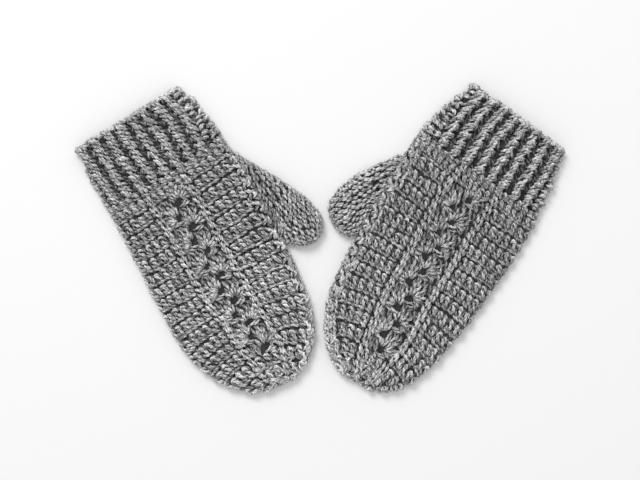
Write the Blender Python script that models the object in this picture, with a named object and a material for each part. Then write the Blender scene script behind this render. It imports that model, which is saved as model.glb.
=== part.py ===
"""A pair of crocheted mittens, laid flat side by side with the backs of the hands up.

Each mitten is worked as tubes: a ribbed cuff, a hand that closes in a round tip, and a thumb that
leaves the side of the hand. Laid flat, a tube is two walls that lie on each other. Each tube is
built as an upper wall and an under wall, which meet at its two side folds. Ribs, the two raised
post columns and the shell panel between them are raised in the outer side of the upper walls.
The under walls rest flat.

X points right, Y points from the finger tips towards the cuffs and Z points up. The origin is on
the surface that the mittens lie on, under the middle of the pair.
"""

from collections import namedtuple
import math

import bmesh
import bpy
import numpy as np

MM = 0.001

# Cloth
WALL = 3.4 * MM
LAYER_GAP = 0.4 * MM
SEAM_GAP = 0.3 * MM
UPPER_BASE = WALL + LAYER_GAP

# Rounding where the cloth folds over, and where the brim ends
EDGE_RADIUS = 3.4 * MM
EDGE_FOOT = 0.16
EDGE_INSETS = np.array([0.0, 0.35, 1.2, 2.4]) * MM
EDGE_INSET_SHARES = np.array([0.0, 0.12, 0.35, 0.65])

# Lines of a wall's grid: rows from the brim and to the tip, and shares across each panel
BRIM_ROWS = np.array([0.0, 0.05, 0.17, 0.34])
TIP_ROWS = np.array([0.42, 0.26, 0.1, 0.0])
ROW_STEP = 0.5
LAST_HALF_ROW = 17.0
RIB_LINE_STEP = 0.25
OUTER_PANEL_LINES = (0.36, 0.68)
INNER_PANEL_LINES = (0.32, 0.64)
PLAIN_LINES = (0.25, 0.5, 0.75)
FLANK_LINES = np.array([[-1.0, -0.5, 0.0, 0.5, 1.0]])
FLANK_OF_SHELL_PANEL = 0.3
FLANK_OF_OUTER_PANEL = 0.4
KEPT_END_ROWS = 4
SHARP_ANGLE = 50

# Relief on the backs
HAND_CROWN = 0.8 * MM
CROWN_REACH = 22 * MM
RIB_COUNT = 8
RIB_HEIGHT = 1.9 * MM
POST_RIBS = (2, 5)
RIB_FADE = 0.8
ROUND_PINCH = 0.35 * MM
COLUMN_HEIGHT = 1.9 * MM
COLUMN_HALF_WIDTH = 3.6 * MM
COLUMN_END_ROW = 16.9
COLUMN_FADE = 1.4
EYELET_DEPTH = 1.5 * MM
EYELET_RADIUS = 3.2 * MM
SHELL_HEIGHT = 0.5 * MM
SHELL_FLANK = 0.25
FIRST_EYELET_ROW = 2
LAST_EYELET_ROW = 14
EYELET_STEP = 0.5
ROW_HEIGHT = 9.6 * MM

# The thumb is fuller than the hand and lower where it leaves the hand
THUMB_RISE = 7.0 * MM
THUMB_RADIUS = 8.5 * MM
THUMB_ROOT_SHARE = 0.5
THUMB_ROOT_REACH = 9 * MM
THUMB_STATIONS = 19
THUMB_SHARES = (0.0, 0.07, 0.18, 0.34, 0.5, 0.66, 0.82, 0.93, 1.0)
THUMB_WALL = 1.1 * WALL
FOLD_ROWS = np.linspace(0.0, 14.0, 141)

WOOL_GREY = (0.21, 0.21, 0.215, 1.0)
WOOL_ROUGHNESS = 0.85

# A section crosses the mitten from its outer fold to the fold on the thumb's side. "across" and
# "along" are millimetres from the point where the mitten's axis starts, "bow" is how far the
# section's middle is drawn towards the cuff, and "column_out" and "column_in" say where the two
# post columns cross it, as shares of its length. Rows below 0 are cuff rounds, row 0 is the seam
# between cuff and hand, and the last row is the tip.
Section = namedtuple(
    "Section", "row outer_across outer_along inner_across inner_along bow column_out column_in"
)

# A thumb's section lies beside the hand: "near" and "far" are millimetres from the hand's fold to
# the thumb's two edges, at one height "along" the mitten.
ThumbSection = namedtuple("ThumbSection", "along near far")

# Where each mitten's axis starts and how far it is turned, with its sections. "side" is the
# direction of the thumb, and the eyelets of even and odd rows have their own places in the panel.
Mitten = namedtuple("Mitten", "name start_x start_y turn side even_eyelet odd_eyelet hand thumb")

LEFT = Mitten(
    name="left", start_x=-137.2, start_y=88.95, turn=26.1, side=1, even_eyelet=0.63, odd_eyelet=0.41,
    hand=(
        Section(-7.0, -38.1, 12.9, 42.4, 5.8, 0.4, 0.28, 0.635),
        Section(-4.0, -37.4, 33.0, 49.4, 25.0, -0.6, 0.28, 0.63),
        Section(0.0, -35.4, 58.5, 54.7, 48.3, -2.2, 0.285, 0.61),
        Section(1.0, -35.4, 64.3, 55.6, 53.7, -2.4, 0.29, 0.61),
        Section(4.0, -34.7, 92.8, 58.5, 82.3, -1.7, 0.305, 0.61),
        Section(7.0, -34.3, 121.0, 59.5, 114.6, 0.0, 0.312, 0.62),
        Section(10.0, -33.7, 151.0, 60.5, 147.2, 2.7, 0.33, 0.625),
        Section(12.0, -31.3, 172.4, 59.4, 169.3, 6.0, 0.345, 0.64),
        Section(13.0, -27.8, 182.9, 57.8, 180.0, 7.5, 0.345, 0.645),
        Section(14.0, -22.8, 192.6, 54.1, 191.4, 9.2, 0.34, 0.665),
        Section(15.0, -16.6, 201.8, 48.0, 202.4, 9.5, 0.335, 0.70),
        Section(16.0, -8.2, 210.4, 40.3, 210.4, 7.0, 0.32, 0.72),
        Section(17.0, 2.0, 215.9, 29.9, 215.9, 3.2, 0.32, 0.70),
        Section(17.6, 10.6, 217.9, 21.2, 217.9, 0.2, 0.33, 0.67),
    ),
    thumb=(
        ThumbSection(60.5, 0.0, 0.6),
        ThumbSection(68.5, 0.0, 3.8),
        ThumbSection(80.0, 0.0, 10.7),
        ThumbSection(91.0, 0.0, 17.3),
        ThumbSection(104.0, 0.0, 24.6),
        ThumbSection(116.0, 0.0, 29.4),
        ThumbSection(124.0, 0.0, 30.9),
        ThumbSection(129.5, 0.4, 30.3),
        ThumbSection(134.5, 5.2, 27.6),
        ThumbSection(138.0, 10.0, 24.0),
        ThumbSection(140.2, 14.6, 19.6),
    ),
)

RIGHT = Mitten(
    name="right", start_x=141.6, start_y=88.95, turn=-29.2, side=-1, even_eyelet=0.44,
    odd_eyelet=0.62,
    hand=(
        Section(-7.0, 35.4, 13.9, -39.8, 4.6, 0.6, 0.285, 0.645),
        Section(-4.0, 38.2, 34.2, -49.0, 25.4, -0.4, 0.295, 0.635),
        Section(0.0, 40.8, 59.8, -55.8, 49.6, -1.4, 0.309, 0.62),
        Section(1.0, 41.5, 65.3, -56.9, 54.6, -1.4, 0.312, 0.627),
        Section(4.0, 41.5, 93.2, -58.5, 81.6, -1.0, 0.337, 0.65),
        Section(7.0, 39.4, 120.7, -59.2, 115.9, 1.4, 0.331, 0.641),
        Section(10.0, 35.4, 152.7, -59.5, 146.9, 3.9, 0.315, 0.624),
        Section(12.0, 31.2, 174.8, -57.8, 168.6, 6.1, 0.29, 0.605),
        Section(13.0, 28.4, 185.8, -55.3, 180.2, 7.4, 0.275, 0.597),
        Section(14.0, 24.4, 196.6, -51.1, 191.7, 8.8, 0.265, 0.592),
        Section(15.0, 18.9, 206.6, -44.9, 202.8, 9.3, 0.262, 0.60),
        Section(16.0, 12.0, 214.0, -36.6, 211.8, 7.4, 0.265, 0.62),
        Section(17.0, 3.4, 218.3, -25.6, 217.8, 3.4, 0.30, 0.66),
        Section(17.6, -5.6, 219.8, -16.8, 219.8, 0.2, 0.33, 0.67),
    ),
    thumb=(
        ThumbSection(69.0, 0.0, 0.6),
        ThumbSection(75.0, 0.0, 5.1),
        ThumbSection(82.0, 0.0, 10.4),
        ThumbSection(90.0, 0.0, 15.9),
        ThumbSection(99.0, 0.0, 21.4),
        ThumbSection(110.0, 0.0, 25.4),
        ThumbSection(119.0, 0.0, 26.8),
        ThumbSection(126.0, 0.0, 24.9),
        ThumbSection(130.8, 0.3, 20.6),
        ThumbSection(134.0, 2.6, 15.4),
        ThumbSection(135.8, 5.8, 10.6),
    ),
)


# Clearing and collecting

def clear_scene():
    for old in list(bpy.data.objects):
        bpy.data.objects.remove(old, do_unlink=True)


def make_collection(name):
    collection = bpy.data.collections.new(name)
    bpy.context.scene.collection.children.link(collection)
    return collection


def make_wool():
    wool = bpy.data.materials.new("grey_wool")
    wool.use_nodes = True
    shader = wool.node_tree.nodes["Principled BSDF"]
    shader.inputs["Base Color"].default_value = WOOL_GREY
    shader.inputs["Roughness"].default_value = WOOL_ROUGHNESS
    shader.inputs["Metallic"].default_value = 0.0
    return wool


# Reading the tables

def column(table, field):
    return np.array([getattr(entry, field) for entry in table], dtype=float)


def smooth_through(knots, values, where):
    """A smooth curve through the values, with each knot's slope taken from its two neighbours."""
    slopes = np.gradient(values, knots)
    where = np.clip(where, knots[0], knots[-1])
    left = np.clip(np.searchsorted(knots, where, side="right") - 1, 0, len(knots) - 2)
    span = knots[left + 1] - knots[left]
    t = (where - knots[left]) / span
    start = values[left] * (1 + 2 * t) * (1 - t) ** 2 + slopes[left] * span * t * (1 - t) ** 2
    end = values[left + 1] * t ** 2 * (3 - 2 * t) + slopes[left + 1] * span * t ** 2 * (t - 1)
    return start + end


def read_sections(mitten, field, rows):
    return smooth_through(column(mitten.hand, "row"), column(mitten.hand, field), rows)


def across_and_along(mitten, rows, shares):
    """Points of the flat mitten, in its own axes, for rows and shares of each section."""
    outer_across = read_sections(mitten, "outer_across", rows)
    inner_across = read_sections(mitten, "inner_across", rows)
    outer_along = read_sections(mitten, "outer_along", rows)
    inner_along = read_sections(mitten, "inner_along", rows)
    bow = read_sections(mitten, "bow", rows)
    across = outer_across + (inner_across - outer_across) * shares
    along = outer_along + (inner_along - outer_along) * shares - 4 * bow * shares * (1 - shares)
    return across * MM, along * MM


def to_world(mitten, across, along):
    """Turn a mitten's own axes into the pair's: along runs from the cuff to the finger tips."""
    turn = math.radians(mitten.turn)
    x = mitten.start_x * MM + across * math.cos(turn) + along * math.sin(turn)
    y = mitten.start_y * MM + across * math.sin(turn) - along * math.cos(turn)
    return x, y


# Heights

def rounded(distance, radius):
    """The share of full height that a wall has at a distance from its folded edge."""
    rise = np.sqrt(np.clip(1 - (1 - np.clip(distance / radius, 0, 1)) ** 2, 0, 1))
    return EDGE_FOOT + (1 - EDGE_FOOT) * rise


def distance_to_line(across, along, line):
    """Distance in plan from each point to a line of points."""
    points = np.stack([across, along], axis=-1)[..., None, :]
    starts = line[:-1]
    steps = line[1:] - line[:-1]
    lengths = np.maximum((steps ** 2).sum(-1), 1e-12)
    shares = np.clip(((points - starts) * steps).sum(-1) / lengths, 0, 1)
    nearest = starts + shares[..., None] * steps
    return np.sqrt(((points - nearest) ** 2).sum(-1)).min(-1)


def hump(distance, half_width):
    return 0.5 + 0.5 * np.cos(np.pi * np.clip(distance / half_width, -1, 1))


def ease(distance, reach):
    """Rise smoothly from 0 at no distance to 1 at the reach and beyond."""
    return 0.5 - 0.5 * np.cos(np.pi * np.clip(distance / reach, 0, 1))


def first_rib_and_pitch(mitten, rows):
    """Where the cuff's ribs cross each row, so that the post columns run on from two of them."""
    first_post, second_post = POST_RIBS
    column_out = read_sections(mitten, "column_out", rows)
    column_in = read_sections(mitten, "column_in", rows)
    pitch = (column_in - column_out) / (second_post - first_post)
    return column_out - first_post * pitch, pitch


def round_pinch(rows):
    """How far each round is drawn in where it meets the next one."""
    return ROUND_PINCH * (0.5 + 0.5 * np.cos(2 * np.pi * rows))


def cuff_relief(mitten, rows, shares, widths):
    """Ribs that run the length of the cuff and sink into the hand, but for the two post ribs."""
    first, pitch = first_rib_and_pitch(mitten, rows)
    relief = np.zeros_like(shares)
    for number in range(RIB_COUNT):
        sinks = 1.0 if number in POST_RIBS else ease(-rows, RIB_FADE)
        relief += RIB_HEIGHT * sinks * hump(shares - first - number * pitch, pitch * 0.5)
    return relief - round_pinch(rows) * (relief > 0)


def hand_relief(mitten, rows, shares, widths):
    """Post columns, and the shell panel between them with one eyelet in each row."""
    column_out = read_sections(mitten, "column_out", rows)
    column_in = read_sections(mitten, "column_in", rows)
    relief = np.zeros_like(shares)
    for post in (column_out, column_in):
        relief += COLUMN_HEIGHT * hump((shares - post) * widths, COLUMN_HALF_WIDTH)
    relief *= ease(COLUMN_END_ROW - rows, COLUMN_FADE)
    relief -= round_pinch(rows) * (relief > 0)
    inside = (shares - column_out) / (column_in - column_out)
    in_panel = np.clip(np.minimum(inside, 1 - inside) / SHELL_FLANK, 0, 1)
    relief += SHELL_HEIGHT * in_panel
    panel_width = (column_in - column_out) * widths
    for row in range(FIRST_EYELET_ROW, LAST_EYELET_ROW + 1):
        place = mitten.odd_eyelet if row % 2 else mitten.even_eyelet
        away = np.hypot((inside - place) * panel_width, (rows - row - EYELET_STEP) * ROW_HEIGHT)
        relief -= EYELET_DEPTH * hump(away, EYELET_RADIUS) * in_panel
    return relief


# Walls

def shares_with_edges(widths, inner_lines):
    """Shares across each row: close lines round each fold, and the given lines between them."""
    widths = widths[:, None]
    room_out = inner_lines[:, :1] * EDGE_INSET_SHARES
    room_in = (1 - inner_lines[:, -1:]) * EDGE_INSET_SHARES
    outer_fold = np.minimum(EDGE_INSETS / widths, room_out)
    inner_fold = np.minimum(EDGE_INSETS / widths, room_in)
    return np.concatenate([outer_fold, inner_lines, 1 - inner_fold[:, ::-1]], axis=1)


def row_widths(mitten, rows):
    """The length of each section, straight from fold to fold."""
    ends_across, ends_along = across_and_along(mitten, rows[:, None], np.array([[0.0, 1.0]]))
    return np.hypot(np.diff(ends_across)[:, 0], np.diff(ends_along)[:, 0])


def cuff_lines(mitten, rows):
    """Lines on the crests and in the valleys of the ribs, and half-way between."""
    first, pitch = first_rib_and_pitch(mitten, rows[:, None])
    return first + pitch * np.arange(0.0, RIB_COUNT - RIB_LINE_STEP, RIB_LINE_STEP)


def between(start, end, shares):
    return start + (end - start) * np.array([shares])


def middle(start, end):
    return 0.5 * (start + end)


def hand_lines(mitten, rows):
    """Lines on the two post columns and beside them, through the eyelets, and in the panels."""
    post_out = read_sections(mitten, "column_out", rows)[:, None]
    post_in = read_sections(mitten, "column_in", rows)[:, None]
    flank = COLUMN_HALF_WIDTH / row_widths(mitten, rows)[:, None]
    flank = np.minimum(flank, FLANK_OF_SHELL_PANEL * (post_in - post_out))
    flank = np.minimum(flank, FLANK_OF_OUTER_PANEL * post_out)
    beside = flank * FLANK_LINES
    first, second = sorted([mitten.even_eyelet, mitten.odd_eyelet])
    panel = (middle(SHELL_FLANK, first), first, second, middle(second, 1 - SHELL_FLANK))
    return np.concatenate([
        between(0 * post_out, post_out - flank, OUTER_PANEL_LINES),
        post_out + beside,
        between(post_out, post_in, panel),
        post_in + beside,
        between(post_in + flank, 0 * post_in + 1, INNER_PANEL_LINES),
    ], axis=1)


def plain_lines(mitten, rows):
    return np.repeat(np.array([PLAIN_LINES]), len(rows), axis=0)


def slab(name, collection, wool, x, y, face_z, back_z):
    """A closed wall over a grid: a shaped face, a rim, and a back that is flat or shaped."""
    shape = bmesh.new()
    rows, columns = x.shape
    face = [[shape.verts.new((x[i, j], y[i, j], face_z[i, j])) for j in range(columns)]
            for i in range(rows)]
    border = [(0, j) for j in range(columns)]
    border += [(i, columns - 1) for i in range(1, rows)]
    border += [(rows - 1, j) for j in range(columns - 2, -1, -1)]
    border += [(i, 0) for i in range(rows - 2, 0, -1)]
    shaped_back = isinstance(back_z, np.ndarray)
    if shaped_back:
        back = {(i, j): shape.verts.new((x[i, j], y[i, j], back_z[i, j]))
                for i in range(rows) for j in range(columns)}
    else:
        back = {place: shape.verts.new((x[place], y[place], back_z)) for place in border}
    for i in range(rows - 1):
        for j in range(columns - 1):
            shape.faces.new((face[i][j], face[i][j + 1], face[i + 1][j + 1], face[i + 1][j]))
            if shaped_back:
                shape.faces.new((back[i, j], back[i + 1, j], back[i + 1, j + 1], back[i, j + 1]))
    if not shaped_back:
        shape.faces.new([back[place] for place in border])
    for here, after in zip(border, border[1:] + border[:1]):
        shape.faces.new((face[here[0]][here[1]], back[here], back[after],
                         face[after[0]][after[1]]))
    bmesh.ops.recalc_face_normals(shape, faces=shape.faces)
    mesh = bpy.data.meshes.new(name)
    shape.to_mesh(mesh)
    shape.free()
    mesh.shade_smooth()
    mesh.set_sharp_from_angle(angle=math.radians(SHARP_ANGLE))
    mesh.materials.append(wool)
    wall = bpy.data.objects.new(name, mesh)
    collection.objects.link(wall)
    return wall


def points_in_line(across, along):
    return np.stack([across, along], axis=1)


def folded_edges(across, along, first_open, last_open):
    """The border of a grid in plan, without a first or last row that meets another piece."""
    outer = points_in_line(across[::-1, 0], along[::-1, 0])
    inner = points_in_line(across[:, -1], along[:, -1])
    if first_open:
        outer = np.concatenate([outer, points_in_line(across[0], along[0])])
    if last_open:
        inner = np.concatenate([inner, points_in_line(across[-1, ::-1], along[-1, ::-1])])
    return outer, inner


def tube_walls(mitten, part, rows, lines, relief, crown, first_open, last_open, collection, wool):
    """The upper and the under wall of a cuff or a hand."""
    for layer, pick_lines in (("back", lines), ("palm", plain_lines)):
        layer_rows = rows if layer == "back" else rows[plain_rows(rows)]
        widths = row_widths(mitten, layer_rows)
        shares = shares_with_edges(widths, pick_lines(mitten, layer_rows))
        grid_rows = np.repeat(layer_rows[:, None], shares.shape[1], axis=1)
        across, along = across_and_along(mitten, grid_rows, shares)
        away = np.full(across.shape, np.inf)
        for line in folded_edges(across, along, first_open, last_open):
            away = np.minimum(away, distance_to_line(across, along, line))
        full = WALL
        if layer == "back":
            full = WALL + crown * ease(away, CROWN_REACH)
            full = full + relief(mitten, grid_rows, shares, widths[:, None])
        height = full * rounded(away, EDGE_RADIUS)
        x, y = to_world(mitten, across, along)
        name = f"{mitten.name}_{part}_{layer}"
        if layer == "back":
            slab(name, collection, wool, x, y, UPPER_BASE + height, UPPER_BASE)
        else:
            slab(name, collection, wool, x, y, WALL - height, WALL)


def plain_rows(rows):
    """Every second row of an under wall, with both ends kept."""
    keep = np.zeros(len(rows), dtype=bool)
    keep[::2] = True
    keep[:KEPT_END_ROWS] = True
    keep[-KEPT_END_ROWS:] = True
    return keep


def cuff_rows(mitten):
    brim = mitten.hand[0].row
    half_rounds = np.arange(brim + ROW_STEP, 0.0, ROW_STEP)
    return np.concatenate([brim + BRIM_ROWS, half_rounds, [seam_row(mitten, -1)]])


def hand_rows(mitten):
    tip = mitten.hand[-1].row
    half_rows = np.arange(ROW_STEP, LAST_HALF_ROW + ROW_STEP, ROW_STEP)
    return np.concatenate([[seam_row(mitten, 1)], half_rows, tip - TIP_ROWS])


def seam_row(mitten, direction):
    """The row half a seam gap above or below the seam, from the length of the rounds there."""
    beside = np.array([0.0, ROW_STEP * direction])
    along = read_sections(mitten, "outer_along", beside) * MM
    return ROW_STEP * direction * (SEAM_GAP / 2) / abs(along[1] - along[0])


def hand_fold(mitten, along):
    """How far across the hand's fold on the thumb's side lies, at a height along the mitten."""
    across, height = across_and_along(mitten, FOLD_ROWS, np.ones_like(FOLD_ROWS))
    return np.interp(along, height, across)


def thumb_plan(mitten):
    """A grid over the thumb in the mitten's axes, and the hand's fold that it leaves."""
    stations = column(mitten.thumb, "along")
    along_row = np.linspace(stations[0], stations[-1], THUMB_STATIONS)
    near = np.maximum(smooth_through(stations, column(mitten.thumb, "near"), along_row), 0)
    far = smooth_through(stations, column(mitten.thumb, "far"), along_row)
    fold = hand_fold(mitten, along_row * MM)
    shares = np.array([THUMB_SHARES])
    reach = (near[:, None] + (far - near)[:, None] * shares) * MM + SEAM_GAP
    across = fold[:, None] + mitten.side * reach
    along = np.repeat(along_row[:, None] * MM, len(THUMB_SHARES), axis=1)
    leaves_hand = near > 0
    return across, along, points_in_line(fold, along_row * MM), leaves_hand


def thumb_walls(mitten, collection, wool):
    """The two walls of a thumb, from its root beside the hand to its round tip."""
    across, along, fold, leaves_hand = thumb_plan(mitten)
    far_edge = folded_edges(across, along, False, True)[1]
    crotch_edge = points_in_line(across[leaves_hand, 0], along[leaves_hand, 0])
    away = distance_to_line(across, along, far_edge)
    away = np.minimum(away, distance_to_line(across, along, crotch_edge))
    from_root = distance_to_line(across, along, fold)
    root = THUMB_ROOT_SHARE + (1 - THUMB_ROOT_SHARE) * ease(from_root, THUMB_ROOT_REACH)
    top = UPPER_BASE + THUMB_RISE * root * rounded(away, THUMB_RADIUS)
    hollow = np.maximum(top - THUMB_WALL, UPPER_BASE)
    under = WALL - WALL * rounded(away, EDGE_RADIUS)
    x, y = to_world(mitten, across, along)
    slab(f"{mitten.name}_thumb_back", collection, wool, x, y, top, hollow)
    slab(f"{mitten.name}_thumb_palm", collection, wool, x, y, under, WALL)


def build_mitten(mitten, collection, wool):
    tube_walls(mitten, "cuff", cuff_rows(mitten), cuff_lines, cuff_relief, 0.0,
               True, False, collection, wool)
    tube_walls(mitten, "hand", hand_rows(mitten), hand_lines, hand_relief, HAND_CROWN,
               False, True, collection, wool)
    thumb_walls(mitten, collection, wool)


def main():
    clear_scene()
    collection = make_collection("pair_of_mittens")
    wool = make_wool()
    for mitten in (LEFT, RIGHT):
        build_mitten(mitten, collection, wool)


main()
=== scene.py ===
# %% [markdown]
# # A pair of crocheted mittens
#
# These mittens are worked in plied grey wool and lie flat, backs up. Crochet is not a surface
# with a pattern on it: it is one long yarn, and every bright or dark mark in it is a loop that
# stands up or a gap between two loops. So this lesson lays real loops of yarn over the plain
# walls of the model, row by row, with the counts and the gauge of the real pair. The walls come
# first, because every loop is placed by a row and a distance on them.

# %% Load the frame
import math
from collections import namedtuple

import bpy
import numpy as np
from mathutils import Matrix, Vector


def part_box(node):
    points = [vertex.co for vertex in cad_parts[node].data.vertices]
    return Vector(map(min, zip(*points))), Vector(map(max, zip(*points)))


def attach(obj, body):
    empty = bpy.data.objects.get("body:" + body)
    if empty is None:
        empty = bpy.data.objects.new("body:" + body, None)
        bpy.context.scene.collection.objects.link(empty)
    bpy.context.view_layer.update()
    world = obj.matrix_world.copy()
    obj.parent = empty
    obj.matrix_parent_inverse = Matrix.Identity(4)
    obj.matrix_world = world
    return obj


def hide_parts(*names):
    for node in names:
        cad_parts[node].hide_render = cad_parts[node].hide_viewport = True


MM = 0.001

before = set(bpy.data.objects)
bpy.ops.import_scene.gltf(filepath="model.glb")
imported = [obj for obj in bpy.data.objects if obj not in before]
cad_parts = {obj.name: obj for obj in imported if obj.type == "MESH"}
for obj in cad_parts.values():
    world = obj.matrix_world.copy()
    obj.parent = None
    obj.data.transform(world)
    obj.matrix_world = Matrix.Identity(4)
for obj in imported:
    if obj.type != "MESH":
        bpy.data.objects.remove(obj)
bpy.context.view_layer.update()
print("nodes:", ", ".join(sorted(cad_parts)))

# %% [markdown]
# ## Gauge
#
# A crocheter first works a swatch and counts it. This yarn gives stitches 5.1 mm wide in rows
# 9.6 mm tall on the hands, and rounds of 7 mm on the ribbed cuffs. The strand itself is a good
# 2 mm thick. Everything below is counted in these units. The height of the flattened tube is
# read from the model's own walls, so the stitches end where the walls do.

# %% Gauge and thickness
STITCH = 5.1
ROW = 9.6
ROUND = 7.0
YARN = 1.08
lying_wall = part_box("left_hand_palm")[1].z
upper_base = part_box("left_hand_back")[0].z
HALF = (lying_wall + upper_base) / 2
print(f"half the height of a flattened tube: {HALF / MM:.2f} mm")

# %% [markdown]
# ## Where the rows run
#
# The sections are the same short table that the walls were made from. Each one crosses the
# mitten from its outer fold to the fold on the thumb's side, and the rows of stitches follow
# them, because a row of crochet is where the cloth was worked across. Rows below 0 are cuff
# rounds, row 0 is the seam between cuff and hand, and the last row is the tip. All places are
# millimetres across and along the mitten, the bow is how far a row sags between its ends, and
# the columns are shares of the width. A thumb is written as how far its two edges stand out
# from the hand's fold.

# %% Sections of both mittens
Section = namedtuple(
    "Section", "row outer_across outer_along inner_across inner_along bow column_out column_in"
)
ThumbSection = namedtuple("ThumbSection", "along near far")
Mitten = namedtuple("Mitten", "name start_x start_y turn side even_eyelet odd_eyelet hand thumb")

LEFT = Mitten(
    name="left", start_x=-137.2, start_y=88.95, turn=26.1, side=1, even_eyelet=0.63,
    odd_eyelet=0.41,
    hand=(
        Section(-7.0, -38.1, 12.9, 42.4, 5.8, 0.4, 0.28, 0.635),
        Section(-4.0, -37.4, 33.0, 49.4, 25.0, -0.6, 0.28, 0.63),
        Section(0.0, -35.4, 58.5, 54.7, 48.3, -2.2, 0.285, 0.61),
        Section(1.0, -35.4, 64.3, 55.6, 53.7, -2.4, 0.29, 0.61),
        Section(4.0, -34.7, 92.8, 58.5, 82.3, -1.7, 0.305, 0.61),
        Section(7.0, -34.3, 121.0, 59.5, 114.6, 0.0, 0.312, 0.62),
        Section(10.0, -33.7, 151.0, 60.5, 147.2, 2.7, 0.33, 0.625),
        Section(12.0, -31.3, 172.4, 59.4, 169.3, 6.0, 0.345, 0.64),
        Section(13.0, -27.8, 182.9, 57.8, 180.0, 7.5, 0.345, 0.645),
        Section(14.0, -22.8, 192.6, 54.1, 191.4, 9.2, 0.34, 0.665),
        Section(15.0, -16.6, 201.8, 48.0, 202.4, 9.5, 0.335, 0.70),
        Section(16.0, -8.2, 210.4, 40.3, 210.4, 7.0, 0.32, 0.72),
        Section(17.0, 2.0, 215.9, 29.9, 215.9, 3.2, 0.32, 0.70),
        Section(17.6, 10.6, 217.9, 21.2, 217.9, 0.2, 0.33, 0.67),
    ),
    thumb=(
        ThumbSection(60.5, 0.0, 0.6),
        ThumbSection(68.5, 0.0, 3.8),
        ThumbSection(80.0, 0.0, 10.7),
        ThumbSection(91.0, 0.0, 17.3),
        ThumbSection(104.0, 0.0, 24.6),
        ThumbSection(116.0, 0.0, 29.4),
        ThumbSection(124.0, 0.0, 30.9),
        ThumbSection(129.5, 0.4, 30.3),
        ThumbSection(134.5, 5.2, 27.6),
        ThumbSection(138.0, 10.0, 24.0),
        ThumbSection(140.2, 14.6, 19.6),
    ),
)

RIGHT = Mitten(
    name="right", start_x=141.6, start_y=88.95, turn=-29.2, side=-1, even_eyelet=0.44,
    odd_eyelet=0.62,
    hand=(
        Section(-7.0, 35.4, 13.9, -39.8, 4.6, 0.6, 0.285, 0.645),
        Section(-4.0, 38.2, 34.2, -49.0, 25.4, -0.4, 0.295, 0.635),
        Section(0.0, 40.8, 59.8, -55.8, 49.6, -1.4, 0.309, 0.62),
        Section(1.0, 41.5, 65.3, -56.9, 54.6, -1.4, 0.312, 0.627),
        Section(4.0, 41.5, 93.2, -58.5, 81.6, -1.0, 0.337, 0.65),
        Section(7.0, 39.4, 120.7, -59.2, 115.9, 1.4, 0.331, 0.641),
        Section(10.0, 35.4, 152.7, -59.5, 146.9, 3.9, 0.315, 0.624),
        Section(12.0, 31.2, 174.8, -57.8, 168.6, 6.1, 0.29, 0.605),
        Section(13.0, 28.4, 185.8, -55.3, 180.2, 7.4, 0.275, 0.597),
        Section(14.0, 24.4, 196.6, -51.1, 191.7, 8.8, 0.265, 0.592),
        Section(15.0, 18.9, 206.6, -44.9, 202.8, 9.3, 0.262, 0.60),
        Section(16.0, 12.0, 214.0, -36.6, 211.8, 7.4, 0.265, 0.62),
        Section(17.0, 3.4, 218.3, -25.6, 217.8, 3.4, 0.30, 0.66),
        Section(17.6, -5.6, 219.8, -16.8, 219.8, 0.2, 0.33, 0.67),
    ),
    thumb=(
        ThumbSection(69.0, 0.0, 0.6),
        ThumbSection(75.0, 0.0, 5.1),
        ThumbSection(82.0, 0.0, 10.4),
        ThumbSection(90.0, 0.0, 15.9),
        ThumbSection(99.0, 0.0, 21.4),
        ThumbSection(110.0, 0.0, 25.4),
        ThumbSection(119.0, 0.0, 26.8),
        ThumbSection(126.0, 0.0, 24.9),
        ThumbSection(130.8, 0.3, 20.6),
        ThumbSection(134.0, 2.6, 15.4),
        ThumbSection(135.8, 5.8, 10.6),
    ),
)
BRIM_ROW = LEFT.hand[0].row
TIP_ROW = LEFT.hand[-1].row


# %% Reading the sections
def column(table, field):
    return np.array([getattr(entry, field) for entry in table], dtype=float)


def smooth_through(knots, values, where):
    """A smooth curve through the values, with each knot's slope taken from its two neighbours."""
    slopes = np.gradient(values, knots)
    where = np.clip(where, knots[0], knots[-1])
    left = np.clip(np.searchsorted(knots, where, side="right") - 1, 0, len(knots) - 2)
    span = knots[left + 1] - knots[left]
    t = (where - knots[left]) / span
    start = values[left] * (1 + 2 * t) * (1 - t) ** 2 + slopes[left] * span * t * (1 - t) ** 2
    end = values[left + 1] * t ** 2 * (3 - 2 * t) + slopes[left + 1] * span * t ** 2 * (t - 1)
    return start + end


def read_sections(mitten, field, rows):
    return smooth_through(column(mitten.hand, "row"), column(mitten.hand, field), rows)


def section_point(mitten, rows, shares):
    """A point of the flat mitten in its own axes, in millimetres."""
    outer_across = read_sections(mitten, "outer_across", rows)
    inner_across = read_sections(mitten, "inner_across", rows)
    outer_along = read_sections(mitten, "outer_along", rows)
    inner_along = read_sections(mitten, "inner_along", rows)
    bow = read_sections(mitten, "bow", rows)
    across = outer_across + (inner_across - outer_across) * shares
    along = outer_along + (inner_along - outer_along) * shares - 4 * bow * shares * (1 - shares)
    return across, along


def to_world(mitten, across, along):
    """Turn a mitten's own axes, in millimetres, into the pair's, in metres."""
    turn = math.radians(mitten.turn)
    x = mitten.start_x + across * math.cos(turn) + along * math.sin(turn)
    y = mitten.start_y + across * math.sin(turn) - along * math.cos(turn)
    return x * MM, y * MM


first_row = to_world(LEFT, *section_point(LEFT, 1.0, 0.0))
print("the left hand's first row starts at", [round(float(value), 4) for value in first_row])

# %% [markdown]
# ## A tube of cloth, laid flat
#
# A mitten that lies flat is a tube whose two layers touch, so its edge is no edge at all: the
# cloth turns round a fold with a small radius and goes on underneath. One helper does that for
# the hand, the cuff and the thumb. It takes a row, a share of the way from fold to fold along
# the cloth, and a lift off the cloth, and gives the point and the direction that faces out.
# Near the outline the point leans over the fold, and the cloth is a little plumper there.
# Because the fold is found from the outline, the same few lines also close the round tip.

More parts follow.
